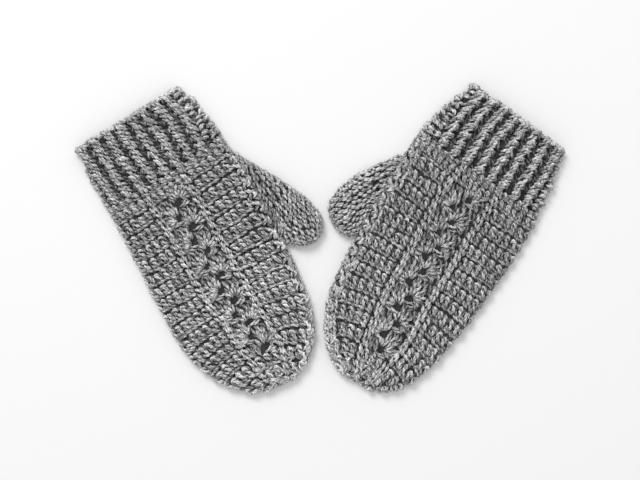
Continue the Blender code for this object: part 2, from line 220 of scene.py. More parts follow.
# %% The tube helper
Tube = namedtuple("Tube", "plan width outline outward reach middle top bottom")
NORMAL_BLEND = 1.5 * MM
BATCH = 4000


def outline_normals(line, centre):
    """Directions that point out of a line of points, away from a centre."""
    run = np.gradient(line, axis=0)
    out = np.stack([run[:, 1], -run[:, 0]], axis=1)
    out /= np.linalg.norm(out, axis=1, keepdims=True)
    half_way = len(line) // 2
    if out[half_way] @ (line[half_way] - centre) < 0:
        out = -out
    return out


def nearest_edge(points, line, outward):
    """For each point the nearest place on the outline, the way out there, and the depth inside."""
    starts, steps = line[:-1], line[1:] - line[:-1]
    squares = np.maximum((steps ** 2).sum(1), 1e-18)
    places, ways = np.empty_like(points), np.empty_like(points)
    for low in range(0, len(points), BATCH):
        some = points[low:low + BATCH]
        share = ((some[:, None] - starts) * steps).sum(2) / squares
        share = np.clip(share, 0, 1)
        foot = starts + share[..., None] * steps
        best = ((some[:, None] - foot) ** 2).sum(2).argmin(1)
        pick = np.arange(len(some))
        places[low:low + BATCH] = foot[pick, best]
        part = share[pick, best][:, None]
        ways[low:low + BATCH] = outward[best] * (1 - part) + outward[best + 1] * part
    ways /= np.linalg.norm(ways, axis=1, keepdims=True)
    gap = places - points
    distance = np.linalg.norm(gap, axis=1)
    inside = np.where((gap * ways).sum(1) < 0, -1.0, 1.0)
    straight = inside[:, None] * gap / np.maximum(distance, 1e-9)[:, None]
    trust = np.clip(distance / NORMAL_BLEND, 0, 1)[:, None]
    ways = ways * (1 - trust) + straight * trust
    ways /= np.linalg.norm(ways, axis=1, keepdims=True)
    return places, ways, inside * distance


def share_along_cloth(arc, width, reach):
    """From a share of the cloth, folds included, to a share of the flat width."""
    extra = (math.pi / 2 - 1) * reach
    cloth = width + 2 * extra
    here = arc * cloth
    fold = math.pi / 2 * reach
    flat = np.where(here < fold, here / (math.pi / 2), here - extra)
    flat = np.where(here > cloth - fold, width - (cloth - here) / (math.pi / 2), flat)
    return flat / width


def cloth_width(width, reach):
    return width + (math.pi - 2) * reach


def arc_of_share(share, width, reach):
    """The other way round, for places that are well inside the folds."""
    return (share * width + (math.pi / 2 - 1) * reach) / cloth_width(width, reach)


FOLD_PLUMP = 0.7 * MM
FOLD_END = 0.96 * math.pi


def lie_on(tube, row, arc, lift, under=False):
    """Points on a flattened tube, and the directions that face out of the cloth there."""
    row, arc, lift = np.broadcast_arrays(row, arc, lift)
    share = share_along_cloth(arc, tube.width(row), tube.reach)
    x, y = tube.plan(row, share)
    flat = np.stack([x.ravel(), y.ravel()], axis=1)
    places, ways, depth = nearest_edge(flat, tube.outline, tube.outward)
    lean = np.clip(math.pi / 2 * (1 - depth / tube.reach), 0, FOLD_END)
    lift = lift.ravel() + FOLD_PLUMP * np.clip(np.sin(lean), 0, 1) ** 2
    over = 1.0 if not under else -1.0
    this_side, other_side = (tube.top, tube.bottom) if not under else (tube.bottom, tube.top)
    rise = np.where(lean < math.pi / 2, this_side(flat, depth), other_side(flat, depth))
    sideways = np.sin(lean)
    bent = places + ways * ((tube.reach + lift) * sideways - tube.reach)[:, None]
    plan = np.where((lean > 0)[:, None], bent, flat)
    z = tube.middle + over * (rise + lift) * np.cos(lean)
    points = np.concatenate([plan, z[:, None]], axis=1)
    facing = np.concatenate([ways * sideways[:, None], over * np.cos(lean)[:, None]], axis=1)
    return points.reshape(row.shape + (3,)), facing.reshape(row.shape + (3,))


# %% The tubes of the two hands
CROWN = 0.8 * MM
CROWN_REACH = 22 * MM
OUTLINE_STEPS = 124


def ease(value):
    return 0.5 - 0.5 * np.cos(np.pi * np.clip(value, 0, 1))


def hand_tube(mitten):
    """Cuff and hand are one tube, from the brim at row -7 to the tip."""
    rows = np.linspace(BRIM_ROW, TIP_ROW, OUTLINE_STEPS)
    across_tip = np.linspace(0, 1, 9)[1:-1]
    outer = section_point(mitten, rows, np.zeros_like(rows))
    tip = section_point(mitten, np.full_like(across_tip, TIP_ROW), across_tip)
    inner = section_point(mitten, rows[::-1], np.ones_like(rows))
    across = np.concatenate([outer[0], tip[0], inner[0]])
    along = np.concatenate([outer[1], tip[1], inner[1]])
    outline = np.stack(to_world(mitten, across, along), axis=1)

    def plan(row, share):
        return to_world(mitten, *section_point(mitten, row, share))

    def width(row):
        ends = [np.stack(section_point(mitten, row, share), axis=-1) for share in (0.0, 1.0)]
        return np.linalg.norm(ends[1] - ends[0], axis=-1) * MM

    def top(flat, depth):
        return HALF + CROWN * ease(depth / CROWN_REACH)

    def bottom(flat, depth):
        return np.full(len(flat), HALF)

    return Tube(plan, width, outline, outline_normals(outline, outline.mean(0)), HALF, HALF, top,
                bottom)


# %% The tubes of the two thumbs
THUMB_ROW = 8.4
THUMB_FULL = 7.0 * MM
THUMB_ROOT = 2.2 * MM
THUMB_ROOT_REACH = 13 * MM
THUMB_REACH = 6.5 * MM
THUMB_UNDERLAP = 3.0
THUMB_HIDDEN = 11.0
THUMB_HIDDEN_OVER = 14.0
THUMB_STEPS = 160
UNDERLAP_FADE = (0.5, 0.62)


def thumb_edges(mitten):
    """The thumb's free edge and the hand's fold beside it, in the mitten's own axes."""
    stations = column(mitten.thumb, "along")
    along = np.linspace(stations[0], stations[-1], THUMB_STEPS)
    near = np.maximum(smooth_through(stations, column(mitten.thumb, "near"), along), 0)
    far = smooth_through(stations, column(mitten.thumb, "far"), along)
    fold_rows = np.linspace(0, 14, 200)
    fold_across, fold_along = section_point(mitten, fold_rows, np.ones_like(fold_rows))
    fold = np.interp(along, fold_along, fold_across)
    far_edge = np.stack([fold + mitten.side * far, along], axis=1)
    near_edge = np.stack([fold + mitten.side * near, along], axis=1)
    free = np.arange(len(along)) > np.flatnonzero(near <= 0)[-1]
    return far_edge, near_edge, free, np.stack([fold, along], axis=1)


def thumb_tube(mitten):
    """A thumb runs from beside the hand to its round tip, at an angle of its own."""
    far_edge, near_edge, free, fold = thumb_edges(mitten)
    rim = np.concatenate([far_edge, near_edge[free][::-1]])
    root = fold[0]
    tip = rim[np.argmax(((rim - root) @ (rim[len(far_edge) * 3 // 4] - root)))]
    lower_root = fold[np.argmax(free) - 1] if free.any() else fold[-1]
    middle_root = (root + lower_root) / 2
    axis = (tip - middle_root) / np.linalg.norm(tip - middle_root)
    aside = np.array([-axis[1], axis[0]]) * -mitten.side
    if aside @ (far_edge[len(far_edge) // 2] - middle_root) < 0:
        aside = -aside
    reach_along = (rim - root) @ axis
    far_most = int(np.argmax(reach_along))
    end = float(reach_along[far_most])
    far_line = rim[:far_most + 1]
    near_line = np.concatenate([fold[~free], near_edge[free], rim[far_most:len(far_edge)][::-1]])
    far_line_at = np.maximum.accumulate((far_line - root) @ axis)
    near_line_at = np.maximum.accumulate((near_line - root) @ axis)
    far_line_out = (far_line - root) @ aside
    near_line_out = (near_line - root) @ aside
    fade_from, fade_to = (end * share for share in UNDERLAP_FADE)
    underlap = THUMB_UNDERLAP * np.interp(near_line_at, [fade_from, fade_to], [1, 0])

    def edges(row):
        at = np.clip(row * THUMB_ROW, 0, end)
        near = np.interp(at, near_line_at, near_line_out - underlap)
        far = np.interp(at, far_line_at, far_line_out)
        return at, near, np.maximum(far, near + 1.0)

    def plan(row, share):
        at, near, far = edges(row)
        out = near + (far - near) * share
        across = root[0] + axis[0] * at + aside[0] * out
        along = root[1] + axis[1] * at + aside[1] * out
        return to_world(mitten, across, along)

    def width(row):
        at, near, far = edges(row)
        return (far - near) * MM

    hidden = fold[~free][::-1].copy()
    back = np.clip((hidden[0, 1] - hidden[:, 1]) / THUMB_HIDDEN_OVER, 0, 1)
    hidden[:, 0] -= mitten.side * THUMB_HIDDEN * back
    rim = np.concatenate([rim, hidden])
    fold_world = np.stack(to_world(mitten, fold[:, 0], fold[:, 1]), axis=1)
    rim_world = np.stack(to_world(mitten, rim[:, 0], rim[:, 1]), axis=1)
    fold_out = outline_normals(fold_world, np.array([0.0, fold_world[:, 1].mean()]))

    def top(flat, depth):
        from_hand = np.abs(nearest_edge(flat, fold_world, fold_out)[2])
        return THUMB_ROOT + (THUMB_FULL - THUMB_ROOT) * ease(from_hand / THUMB_ROOT_REACH)

    def bottom(flat, depth):
        return np.full(len(flat), upper_base)

    outward = outline_normals(rim_world, fold_world.mean(0))
    tube = Tube(plan, width, rim_world, outward, THUMB_REACH, upper_base, top, bottom)
    return tube, end / THUMB_ROW


TUBES, THUMB_ROWS = {}, {}
for mitten in (LEFT, RIGHT):
    TUBES[mitten.name, "hand"] = hand_tube(mitten)
    TUBES[mitten.name, "thumb"], THUMB_ROWS[mitten.name] = thumb_tube(mitten)
    print(f"{mitten.name} thumb: {THUMB_ROWS[mitten.name]:.1f} rows")


def cloth_at(tube, row):
    """How wide the cloth of a tube is at a row, folds included, in millimetres."""
    return float(cloth_width(tube.width(np.float64(row)), tube.reach)) / MM


def panel_arc(mitten, tube, row, inside):
    """A place in the shell panel: 0 is its outer post column, 1 the one by the thumb."""
    column_out = float(read_sections(mitten, "column_out", row))
    column_in = float(read_sections(mitten, "column_in", row))
    width = float(tube.width(np.float64(row)))
    return float(arc_of_share(column_out + (column_in - column_out) * inside, width, tube.reach))


# %% [markdown]
# ## Loops of yarn
#
# A stitch shows as a few short stretches of yarn that come up out of the cloth, bulge, and dive
# again. Each stretch is written as its radius and a few bends: millimetres to the right, the
# share of the row's height from the cuff's side, and millimetres above or below the level at
# which a strand just lies on the cloth. A smooth line through the bends is cut into evenly
# spaced rings.

# %% Bends and lines
FINE_STEPS = 12
Bend = namedtuple("Bend", "aside onward lift")
Strand = namedtuple("Strand", "radius bends")


def strand(radius, *bends):
    """One stretch of yarn: its radius, then aside, onward and lift of each bend."""
    return Strand(radius, tuple(Bend(*bend) for bend in bends))


def lowered(whole, depth, slimmer=1.0):
    """The same stretch, laid deeper in the cloth."""
    bends = tuple(Bend(bend.aside, bend.onward, bend.lift - depth) for bend in whole.bends)
    return Strand(whole.radius * slimmer, bends)


def line_through(bends, rings, row_height):
    """Evenly spaced points on a smooth line through the bends: millimetres, rows, millimetres."""
    knots = np.array(bends, dtype=float)
    ends = np.concatenate([2 * knots[:1] - knots[1:2], knots, 2 * knots[-1:] - knots[-2:-1]])
    t = np.linspace(0, 1, FINE_STEPS, endpoint=False)[:, None]
    fine = []
    for a, b, c, d in zip(ends[:-3], ends[1:-2], ends[2:-1], ends[3:]):
        fine.append(0.5 * (2 * b + (c - a) * t + (2 * a - 5 * b + 4 * c - d) * t ** 2
                           + (3 * b - a - 3 * c + d) * t ** 3))
    fine = np.concatenate(fine + [knots[-1:]])
    scale = np.array([1.0, row_height, 1.0])
    lengths = np.linalg.norm(np.diff(fine * scale, axis=0), axis=1)
    run = np.concatenate([[0], np.cumsum(lengths)])
    stops = np.linspace(0, run[-1], rings)
    return np.stack([np.interp(stops, run, fine[:, i]) for i in range(3)], axis=1)


# %% [markdown]
# ## A skein
#
# No two hand-made stitches are alike. Each stretch is laid a little to the side, further on,
# deeper or thicker than the one before, from a seeded draw, and neighbours sway together as
# hand-worked rows do. Each also gets a tone of its own. On top of that, painted light makes the
# rows of the hands and thumbs lighter towards their tips and the left mitten a little lighter
# than the right one.

# %% Laying stretches
# painted light: rows are painted lighter per row towards the tip, and the left mitten lighter than
# the right
PAINTED_LIGHT_RISE = 0.18
PAINTED_LIGHT_MIDDLE = 4.5
PAINTED_LIGHT_SIDE = 0.4
STRAY_ASIDE = 0.25
STRAY_ONWARD = 0.3
STRAY_LIFT = 0.28
STRAY_RADIUS = 0.08
STRAY_LEAN = math.radians(8.0)
SWAY_WAVES = 5
WAVE_ALONG, WAVE_ALONG_STEP = 0.5, 0.37
WAVE_ACROSS, WAVE_ACROSS_STEP = 9, 7
WAVE_MIDDLE = 1.5
SWAY_ROWS = 0.018
SWAY_ARCS = 0.0022
SWAY_LIFTS = 0.05


class Skein:
    """Collects the stretches of yarn of one piece before they are given their thickness."""

    def __init__(self, tube, side, rings, seed, under=False):
        self.tube, self.side, self.rings, self.under = tube, side, rings, under
        self.chance = np.random.default_rng(seed)
        self.rows, self.arcs, self.lifts, self.radii = [], [], [], []
        self.tones, self.shade_sinks = [], []
        self.waves = self.chance.uniform(0, 2 * math.pi, (3, SWAY_WAVES))

    def add(self, whole, arc, row, span=1.0, row_height=ROW, scale=1.0, jitter=1.0, mirror=1.0,
            sink=0.0):
        """Lay one stretch, its bends counted from a place on the cloth."""
        line = line_through(whole.bends, self.rings, row_height)
        shift = self.chance.normal(0, 1, 5) * jitter
        lean = STRAY_LEAN * shift[4]
        middle = line[self.rings // 2].copy()
        aside, onward = line[:, 0] - middle[0], (line[:, 1] - middle[1]) * row_height
        line[:, 0] = middle[0] + aside * math.cos(lean) - onward * math.sin(lean)
        line[:, 1] = middle[1] + (aside * math.sin(lean) + onward * math.cos(lean)) / row_height
        aside = line[:, 0] * scale * mirror + STRAY_ASIDE * shift[0]
        self.arcs.append(arc + self.side * aside / cloth_at(self.tube, row))
        self.rows.append(row + line[:, 1] * span + STRAY_ONWARD * shift[1] / row_height)
        self.lifts.append(line[:, 2] + STRAY_LIFT * shift[2])
        self.radii.append(whole.radius * (1 + STRAY_RADIUS * shift[3]))
        # painted light: lighter towards the tips and on the left mitten; cuff rounds get none
        painted_light = PAINTED_LIGHT_RISE * (row - PAINTED_LIGHT_MIDDLE) + PAINTED_LIGHT_SIDE * self.side if row >= 0 else 0.0
        self.tones.append(self.chance.normal(0, 1) + painted_light)
        self.shade_sinks.append(sink)

    def stretches(self):
        """All stretches, swayed a little together."""
        rows, arcs = np.array(self.rows), np.array(self.arcs)
        sway = np.zeros((3,) + rows.shape)
        for wave in range(SWAY_WAVES):
            for way in range(3):
                along = rows * (WAVE_ALONG + WAVE_ALONG_STEP * wave)
                across = arcs * (WAVE_ACROSS + WAVE_ACROSS_STEP * way) * (wave - WAVE_MIDDLE)
                sway[way] += np.sin(along + across + self.waves[way, wave])
        lifts = np.array(self.lifts) + SWAY_LIFTS * sway[2]
        return (rows + SWAY_ROWS * sway[0], arcs + SWAY_ARCS * sway[1], lifts,
                np.array(self.radii), np.array(self.tones))


# %% [markdown]
# ## From a line to a strand
#
# The wool is three plies twisted together, and the twist is what gives it its fine slanting
# shine. A round tube with a bump map would lose it in the outline, so the strand's section has
# three lobes and turns as it goes. Six corners are enough for three lobes. Each strand tapers a
# little at both ends, which are hidden in the cloth, and the ends are closed.

# %% Sweeping a strand
PLIES = 3
CORNERS = 2 * PLIES
TWIST_PITCH = 10.0 * MM
PLY_DEPTH = 0.36
FLATTEN = 0.9
END_TAPER = 0.62


def sweep(skein):
    """Vertices, ring by ring, for every stretch of a skein at once."""
    rows, arcs, lifts, radii, tones = skein.stretches()
    centre, facing = lie_on(skein.tube, rows, arcs, (lifts - YARN) * MM, skein.under)
    tangent = np.gradient(centre, axis=1)
    tangent /= np.linalg.norm(tangent, axis=2, keepdims=True)
    count, rings = rows.shape
    upright = np.empty_like(centre)
    middle = rings // 2
    order = [(middle, None)]
    order += [(i, i - 1) for i in range(middle + 1, rings)]
    order += [(i, i + 1) for i in range(middle - 1, -1, -1)]
    for ring, source in order:
        carried = facing[:, ring] if source is None else upright[:, source]
        along = tangent[:, ring]
        carried = carried - (carried * along).sum(1, keepdims=True) * along
        upright[:, ring] = carried / np.linalg.norm(carried, axis=1, keepdims=True)
    sideways = np.cross(tangent, upright)
    steps = np.linalg.norm(np.diff(centre, axis=1), axis=2)
    run = np.concatenate([np.zeros((count, 1)), np.cumsum(steps, axis=1)], axis=1)
    start = skein.chance.uniform(0, 2 * math.pi, (count, 1))
    turn = start + 2 * math.pi * run / TWIST_PITCH
    corner = np.arange(CORNERS) * 2 * math.pi / CORNERS
    angle = turn[..., None] + corner
    share = np.linspace(-1, 1, rings)
    taper = 1 - (1 - END_TAPER) * np.abs(share) ** 4
    lobe = 1 + PLY_DEPTH * (np.cos(PLIES * corner) - 1) / 2
    radius = radii[:, None, None] * MM * taper[None, :, None] * lobe
    offset_up = (radius * np.cos(angle) * FLATTEN)[..., None] * upright[:, :, None, :]
    offset_side = (radius * np.sin(angle))[..., None] * sideways[:, :, None, :]
    shell = centre[:, :, None, :] + offset_up + offset_side
    shell[..., 2] = np.maximum(shell[..., 2], 0.0)
    outwards = ((shell - centre[:, :, None, :]) * facing[:, :, None, :]).sum(3) / MM
    # the height that the painted depth shade reads: lower places and low strand flanks are painted
    # darker
    rise = lifts[..., None] - YARN + outwards - np.array(skein.shade_sinks)[:, None, None]
    tone = np.broadcast_to(tones[:, None, None], rise.shape)
    return shell, rise, tone, run


# %% One mesh from many strands
def strand_faces(count, rings):
    """Corner numbers of every quad and every end cap, with the place of each corner."""
    ring = np.arange(rings - 1)[:, None] * CORNERS
    corner = np.arange(CORNERS)[None, :]
    after = (corner + 1) % CORNERS
    quads = np.stack([ring + corner, ring + after, ring + after + CORNERS,
                      ring + corner + CORNERS], axis=-1).reshape(-1, 4)
    caps = np.stack([np.arange(CORNERS)[::-1], np.arange(CORNERS) + (rings - 1) * CORNERS])
    base = np.arange(count)[:, None, None] * rings * CORNERS
    return quads[None] + base, caps[None] + base


def mesh_from_skeins(name, skeins):
    """One mesh with every strand of the skeins, with yarn coordinates, rise and tone."""
    corners, sizes, points, uvs, rises, tones = [], [], [], [], [], []
    first = 0
    for skein in skeins:
        shell, rise, tone, run = sweep(skein)
        count, rings = shell.shape[:2]
        quads, caps = strand_faces(count, rings)
        for faces, size in ((quads, 4), (caps, CORNERS)):
            corners.append((faces + first).ravel())
            sizes.append(np.full(faces.shape[0] * faces.shape[1], size))
            local = faces % (rings * CORNERS)
            ring, corner = local // CORNERS, (local % CORNERS).astype(float)
            if size == 4:
                corner[..., 1:3] = np.where(corner[..., 1:3] == 0, CORNERS, corner[..., 1:3])
            number = np.arange(count)[:, None, None]
            uvs.append(np.stack([run[number, ring] / MM, corner / CORNERS + 0 * ring],
                                axis=-1).reshape(-1, 2))
        points.append(shell.reshape(-1, 3))
        rises.append(rise.ravel())
        tones.append(tone.ravel())
        first += shell.shape[0] * rings * CORNERS
    return build_mesh(name, np.concatenate(points), np.concatenate(corners), np.concatenate(sizes),
                      np.concatenate(uvs), np.concatenate(rises), np.concatenate(tones))


def build_mesh(name, points, corners, sizes, uvs, rises, tones):
    """Fill a mesh straight from arrays, which is quick for many thousand faces."""
    mesh = bpy.data.meshes.new(name)
    mesh.vertices.add(len(points))
    mesh.vertices.foreach_set("co", points.astype(np.float32).ravel())
    mesh.loops.add(len(corners))
    mesh.loops.foreach_set("vertex_index", corners.astype(np.int32))
    mesh.polygons.add(len(sizes))
    starts = np.concatenate([[0], np.cumsum(sizes)[:-1]])
    mesh.polygons.foreach_set("loop_start", starts.astype(np.int32))
    mesh.update(calc_edges=True)
    mesh.validate()
    layer = mesh.uv_layers.new(name="yarn")
    layer.uv.foreach_set("vector", uvs.astype(np.float32).ravel())
    for label, values in (("rise", rises), ("tone", tones)):
        attribute = mesh.attributes.new(label, "FLOAT", "POINT")
        attribute.data.foreach_set("value", values.astype(np.float32))
    mesh.shade_smooth()
    piece = bpy.data.objects.new(name, mesh)
    bpy.context.scene.collection.objects.link(piece)
    return piece


# %% [markdown]
# ## The side panels: double crochet
#
# Beside the shell panel the hands are plain double crochet. In each stitch the head curls over
# in the upper half, a fat leg leans to the right below it, and a smooth bar lies across at the
# foot. The bars of neighbouring stitches overlap, so the row ends in a rope. Between the rope
# and the next row there is a dark line, with only a deep loop in it. On the thumbs the stitches
# are single crochet, short leaves that slant side by side.

# %% The plain stitch
HEAD = strand(1.36, (0.4, 0.33, -1.6), (0.7, 0.21, 0.0), (1.5, 0.13, 0.9), (2.7, 0.16, 0.8),
              (3.5, 0.28, 0.0), (3.8, 0.4, -1.6))
LEANING_LEG = strand(1.38, (1.1, 0.24, -0.6), (1.9, 0.35, 0.6), (2.9, 0.48, 0.8), (3.8, 0.6, 0.2),
                     (4.4, 0.71, -1.5))
LEFT_LEG = strand(1.15, (0.2, 0.5, -1.8), (0.7, 0.57, -0.5), (1.4, 0.66, -0.3), (2.0, 0.75, -1.7))
BAR_UPPER = strand(1.05, (1.6, 0.66, -1.8), (2.4, 0.68, -0.7), (3.6, 0.71, -0.6), (4.7, 0.74, -1.8))
BAR_LOWER = strand(1.5, (-0.6, 0.77, -1.8), (0.6, 0.81, -0.6), (2.2, 0.845, -0.2),
                   (3.8, 0.865, -0.5), (5.2, 0.88, -1.8))
GAP_LOOP = strand(1.0, (0.6, -0.09, -2.4), (1.8, -0.02, -1.8), (3.2, 0.04, -1.7), (4.6, 0.09, -2.4))
BACK_LEG = strand(1.15, (4.0, 0.04, -2.2), (4.5, 0.18, -1.1), (4.9, 0.36, -1.0), (5.3, 0.54, -2.2))
TIP_LOOP = strand(1.25, (0.2, -0.07, -2.4), (1.8, -0.02, -1.7), (3.4, 0.03, -1.7),
                  (5.0, 0.07, -2.4))
PLAIN_STITCH = (HEAD, LEANING_LEG, LEFT_LEG, BAR_UPPER, BAR_LOWER, BACK_LEG, GAP_LOOP)
TIP_STITCH = PLAIN_STITCH[:-1] + (TIP_LOOP,)
PALM_STITCH = PLAIN_STITCH[:-2]
SINGLE_STITCH = (
    strand(1.42, (1.7, -0.06, -1.7), (1.6, 0.05, 0.2), (1.3, 0.2, 0.8), (0.9, 0.34, 0.3),
           (0.7, 0.44, -1.6)),
    strand(1.4, (1.5, 0.44, -1.7), (1.4, 0.55, 0.1), (1.1, 0.7, 0.7), (0.7, 0.84, 0.2),
           (0.5, 0.94, -1.6)),
    strand(1.4, (4.3, 0.2, -1.7), (4.2, 0.31, 0.0), (3.9, 0.46, 0.5), (3.5, 0.6, 0.1),
           (3.3, 0.7, -1.6)),
    strand(1.38, (4.1, 0.7, -1.7), (4.0, 0.81, 0.0), (3.7, 0.96, 0.4), (3.3, 1.1, 0.0),
           (3.1, 1.2, -1.6)),
    strand(1.1, (2.6, 0.1, -2.2), (2.5, 0.32, -1.4), (2.4, 0.6, -1.4), (2.3, 0.82, -2.2)),
)


def stitches_in(length):
    return max(1, int(round(length / STITCH)))


def lay_cells(skein, stitch, row, span, first_arc, last_arc, row_height=ROW, jitter=1.0,
              count=None):
    """Lay stitches side by side from one arc to another, as many as the cloth there takes."""
    cloth = cloth_at(skein.tube, row + span / 2)
    if count is None:
        count = stitches_in((last_arc - max(first_arc, 0.0)) * cloth)
    pitch = (last_arc - first_arc) / count
    scale = pitch * cloth / STITCH
    for number in range(count):
        left = first_arc + pitch * (number if skein.side > 0 else number + 1)
        for whole in stitch:
            skein.add(whole, left, row, span, row_height, scale, jitter)


print("strands in a plain stitch:", len(PLAIN_STITCH), "and in a single one:", len(SINGLE_STITCH))

# %% [markdown]
# ## The post columns and the ribs
#
# A front post stitch is worked round the stem of the stitch below, so it stands out of the
# cloth as a column of fat, leaning leaves. On the hands two such columns frame the shells. On
# the cuffs eight ribs are made of them, and the stitches between the ribs sink to the back. In
# a raised stitch the painted shade has to reach higher up than in a flat one, so its shade sink
# tells the wool to count it that much deeper and paint it that much darker.

# %% Post stitches
POST_STITCH = (
    strand(1.38, (-2.1, -0.06, 0.2), (-1.6, 0.08, 2.0), (-1.0, 0.26, 2.6), (-0.6, 0.42, 1.8),
           (-0.4, 0.52, 0.2)),
    strand(1.38, (0.0, -0.02, 0.6), (0.7, 0.12, 2.5), (1.4, 0.32, 2.9), (1.9, 0.48, 1.9),
           (2.1, 0.58, 0.2)),
    strand(1.32, (-1.7, 0.46, 0.2), (-1.1, 0.58, 2.1), (-0.2, 0.75, 2.5), (0.4, 0.9, 1.6),
           (0.7, 1.0, 0.2)),
    strand(1.26, (1.0, 0.52, 0.2), (1.5, 0.64, 1.9), (2.1, 0.8, 2.0), (2.5, 0.94, 1.2),
           (2.7, 1.04, -0.2)),
    strand(1.2, (-2.8, 0.56, -1.2), (-1.8, 0.66, 0.8), (0.4, 0.8, 1.3), (2.2, 0.94, 0.6),
           (3.0, 1.02, -1.2)),
    strand(1.1, (-3.4, -0.04, -2.2), (-3.3, 0.18, -1.3), (-3.3, 0.52, -1.2), (-3.1, 0.86, -2.2)),
    strand(1.1, (3.2, 0.2, -2.2), (3.3, 0.42, -1.3), (3.4, 0.74, -1.2), (3.5, 1.04, -2.2)),
)

# painted shade: raised stitches are counted this much deeper, so the painted shade reaches higher
# up on them
RIB_SHADE_SINK = 1.2
RIB_STITCH = (
    strand(1.7, (-0.6, -0.12, -0.8), (-0.2, 0.2, 0.0), (0.2, 0.6, 0.0), (0.4, 1.1, -0.8)),
    strand(1.42, (-1.9, -0.04, 0.2), (-1.3, 0.06, 1.8), (-0.4, 0.26, 2.4), (0.3, 0.46, 1.8),
           (0.7, 0.62, 0.2)),
    strand(1.34, (0.3, 0.02, 0.2), (1.0, 0.14, 1.7), (1.9, 0.36, 1.9), (2.5, 0.56, 1.0),
           (2.8, 0.72, -0.6)),
    strand(1.36, (-1.8, 0.5, 0.0), (-1.2, 0.62, 1.6), (-0.3, 0.8, 2.0), (0.5, 0.98, 1.3),
           (0.9, 1.12, 0.0)),
    strand(1.26, (0.8, 0.56, 0.0), (1.4, 0.68, 1.2), (2.2, 0.86, 1.3), (2.8, 1.04, 0.4),
           (3.1, 1.18, -0.8)),
    strand(1.2, (-3.2, 0.72, -2.0), (-2.9, 0.56, -0.4), (-2.4, 0.34, 0.6), (-1.9, 0.16, 0.4),
           (-1.6, 0.04, -0.8)),
)
RIB_CAP = strand(1.4, (-1.8, 0.42, 0.2), (-1.2, 0.22, 2.0), (0.0, 0.12, 2.7), (1.2, 0.22, 2.2),
                 (1.9, 0.42, 0.4))
GROOVE_LOOP = strand(1.0, (-2.3, 0.05, -2.4), (-1.3, 0.14, -1.7), (0.1, 0.3, -1.5),
                     (1.3, 0.44, -1.7), (2.3, 0.52, -2.4))
STRIP_STITCH = (
    strand(1.55, (0.1, 0.62, -1.6), (0.6, 0.44, 0.2), (2.2, 0.3, 1.1), (3.9, 0.38, 0.6),
           (4.7, 0.6, -1.6)),
    strand(1.15, (1.2, 0.74, -1.8), (2.0, 0.82, -0.6), (3.2, 0.92, -0.5), (4.2, 1.02, -1.8)),
)
STRIP_STEP = 0.56
BRIM_LOOP = strand(1.5, (-3.0, 0.34, -1.2), (-1.9, 0.16, 0.6), (0.2, 0.08, 1.3), (2.2, 0.15, 0.8),
                   (3.2, 0.3, -1.2))


# %% [markdown]
# ## The shells
#
# A shell is a group of stitches worked into one place, so its stems fan out from an eyelet.
# Here every row has one shell, first to one side and then to the other, and each opens towards
# the cuff. Its stems are laid as a fan of strands, a second fan beyond them stands for the heads
# of the stitches, and loops pass under each eyelet. Low stems and leaves lie behind it all and
# close the chance gaps, but they keep clear of the eyelets, which stay open and dark.

# %% Fans round the eyelets
SHELL_ROWS = range(2, 15)
EYELET_RISE = {"even": 0.58, "odd": 0.62}
FAN_ANGLES = {"even": (-42, -20, 2, 24, 46, 68), "odd": (-10, 12, 34, 56, 78, 100)}
HALF_STEM = 11
STEM_REACH, STEM_LIFTS = (2.2, 7.8), (-1.5, -0.2, 0.8, 0.7, -1.2)
TIER_REACH, TIER_LIFTS = (6.4, 11.6), (-1.4, -0.1, 0.6, 0.1, -1.5)
FILL_REACH, FILL_LIFTS = (2.8, 10.4), (-2.0, -1.1, -0.6, -0.8, -2.0)


def fan_strand(radius, angle, reach, lifts):
    """A strand that points away from the eyelet, bulges and dives again."""
    across, onward = math.sin(math.radians(angle)), -math.cos(math.radians(angle)) / ROW
    start, end = reach
    stops = (start + (end - start) * share for share in (0.0, 0.14, 0.45, 0.8, 1.0))
    return strand(radius, *((across * stop, onward * stop, lift)
                            for stop, lift in zip(stops, lifts)))


UNDER_LOOPS = (
    strand(1.08, (-2.8, 0.29, -1.6), (-1.6, 0.3, 0.0), (0.8, 0.29, 0.5), (3.0, 0.22, 0.3),
           (4.2, 0.16, -1.5)),
    strand(1.08, (2.9, -0.06, -1.6), (4.0, -0.02, 0.0), (5.8, 0.02, 0.5), (7.4, 0.08, 0.1),
           (8.2, 0.14, -1.5)),
    strand(1.08, (0.2, 0.46, -1.6), (1.2, 0.45, -0.2), (3.0, 0.4, 0.3), (4.8, 0.34, 0.1),
           (5.8, 0.3, -1.5)),
)
BEHIND_STEMS = (
    strand(1.12, (0.1, 0.0, -1.9), (0.4, 0.2, -0.7), (1.0, 0.45, -0.4), (1.3, 0.6, -0.8),
           (1.4, 0.72, -1.9)),
    strand(1.12, (1.9, 0.26, -1.9), (2.0, 0.44, -0.8), (2.4, 0.66, -0.4), (2.9, 0.86, -0.8),
           (3.1, 1.02, -1.9)),
    strand(1.12, (-0.6, 0.62, -1.9), (0.2, 0.72, -0.8), (1.4, 0.84, -0.5), (2.3, 0.98, -0.9),
           (2.8, 1.08, -1.9)),
    strand(1.12, (2.6, 0.04, -1.9), (3.3, 0.12, -0.8), (4.2, 0.26, -0.5), (4.7, 0.4, -0.9),
           (4.9, 0.52, -1.9)),
)
FILL_LEAVES = 8
FILL_LEAF = strand(1.15, (-1.2, -0.22, -2.0), (-0.6, -0.12, -1.2), (0.2, 0.04, -1.0),
                   (0.8, 0.18, -1.3), (1.1, 0.26, -2.0))
EYELET_CLEAR = 2.9
EYELET_OPEN = 2.2
EYELET_SQUASH = 0.7
print("shells on each hand:", len(SHELL_ROWS))


# %% Eyelets
def eyelet_place(tube, mitten, row):
    """The row and the place across the cloth of one shell's eyelet."""
    turn = "even" if row % 2 == 0 else "odd"
    inside = mitten.even_eyelet if turn == "even" else mitten.odd_eyelet
    at = row + EYELET_RISE[turn]
    return at, panel_arc(mitten, tube, at, inside)


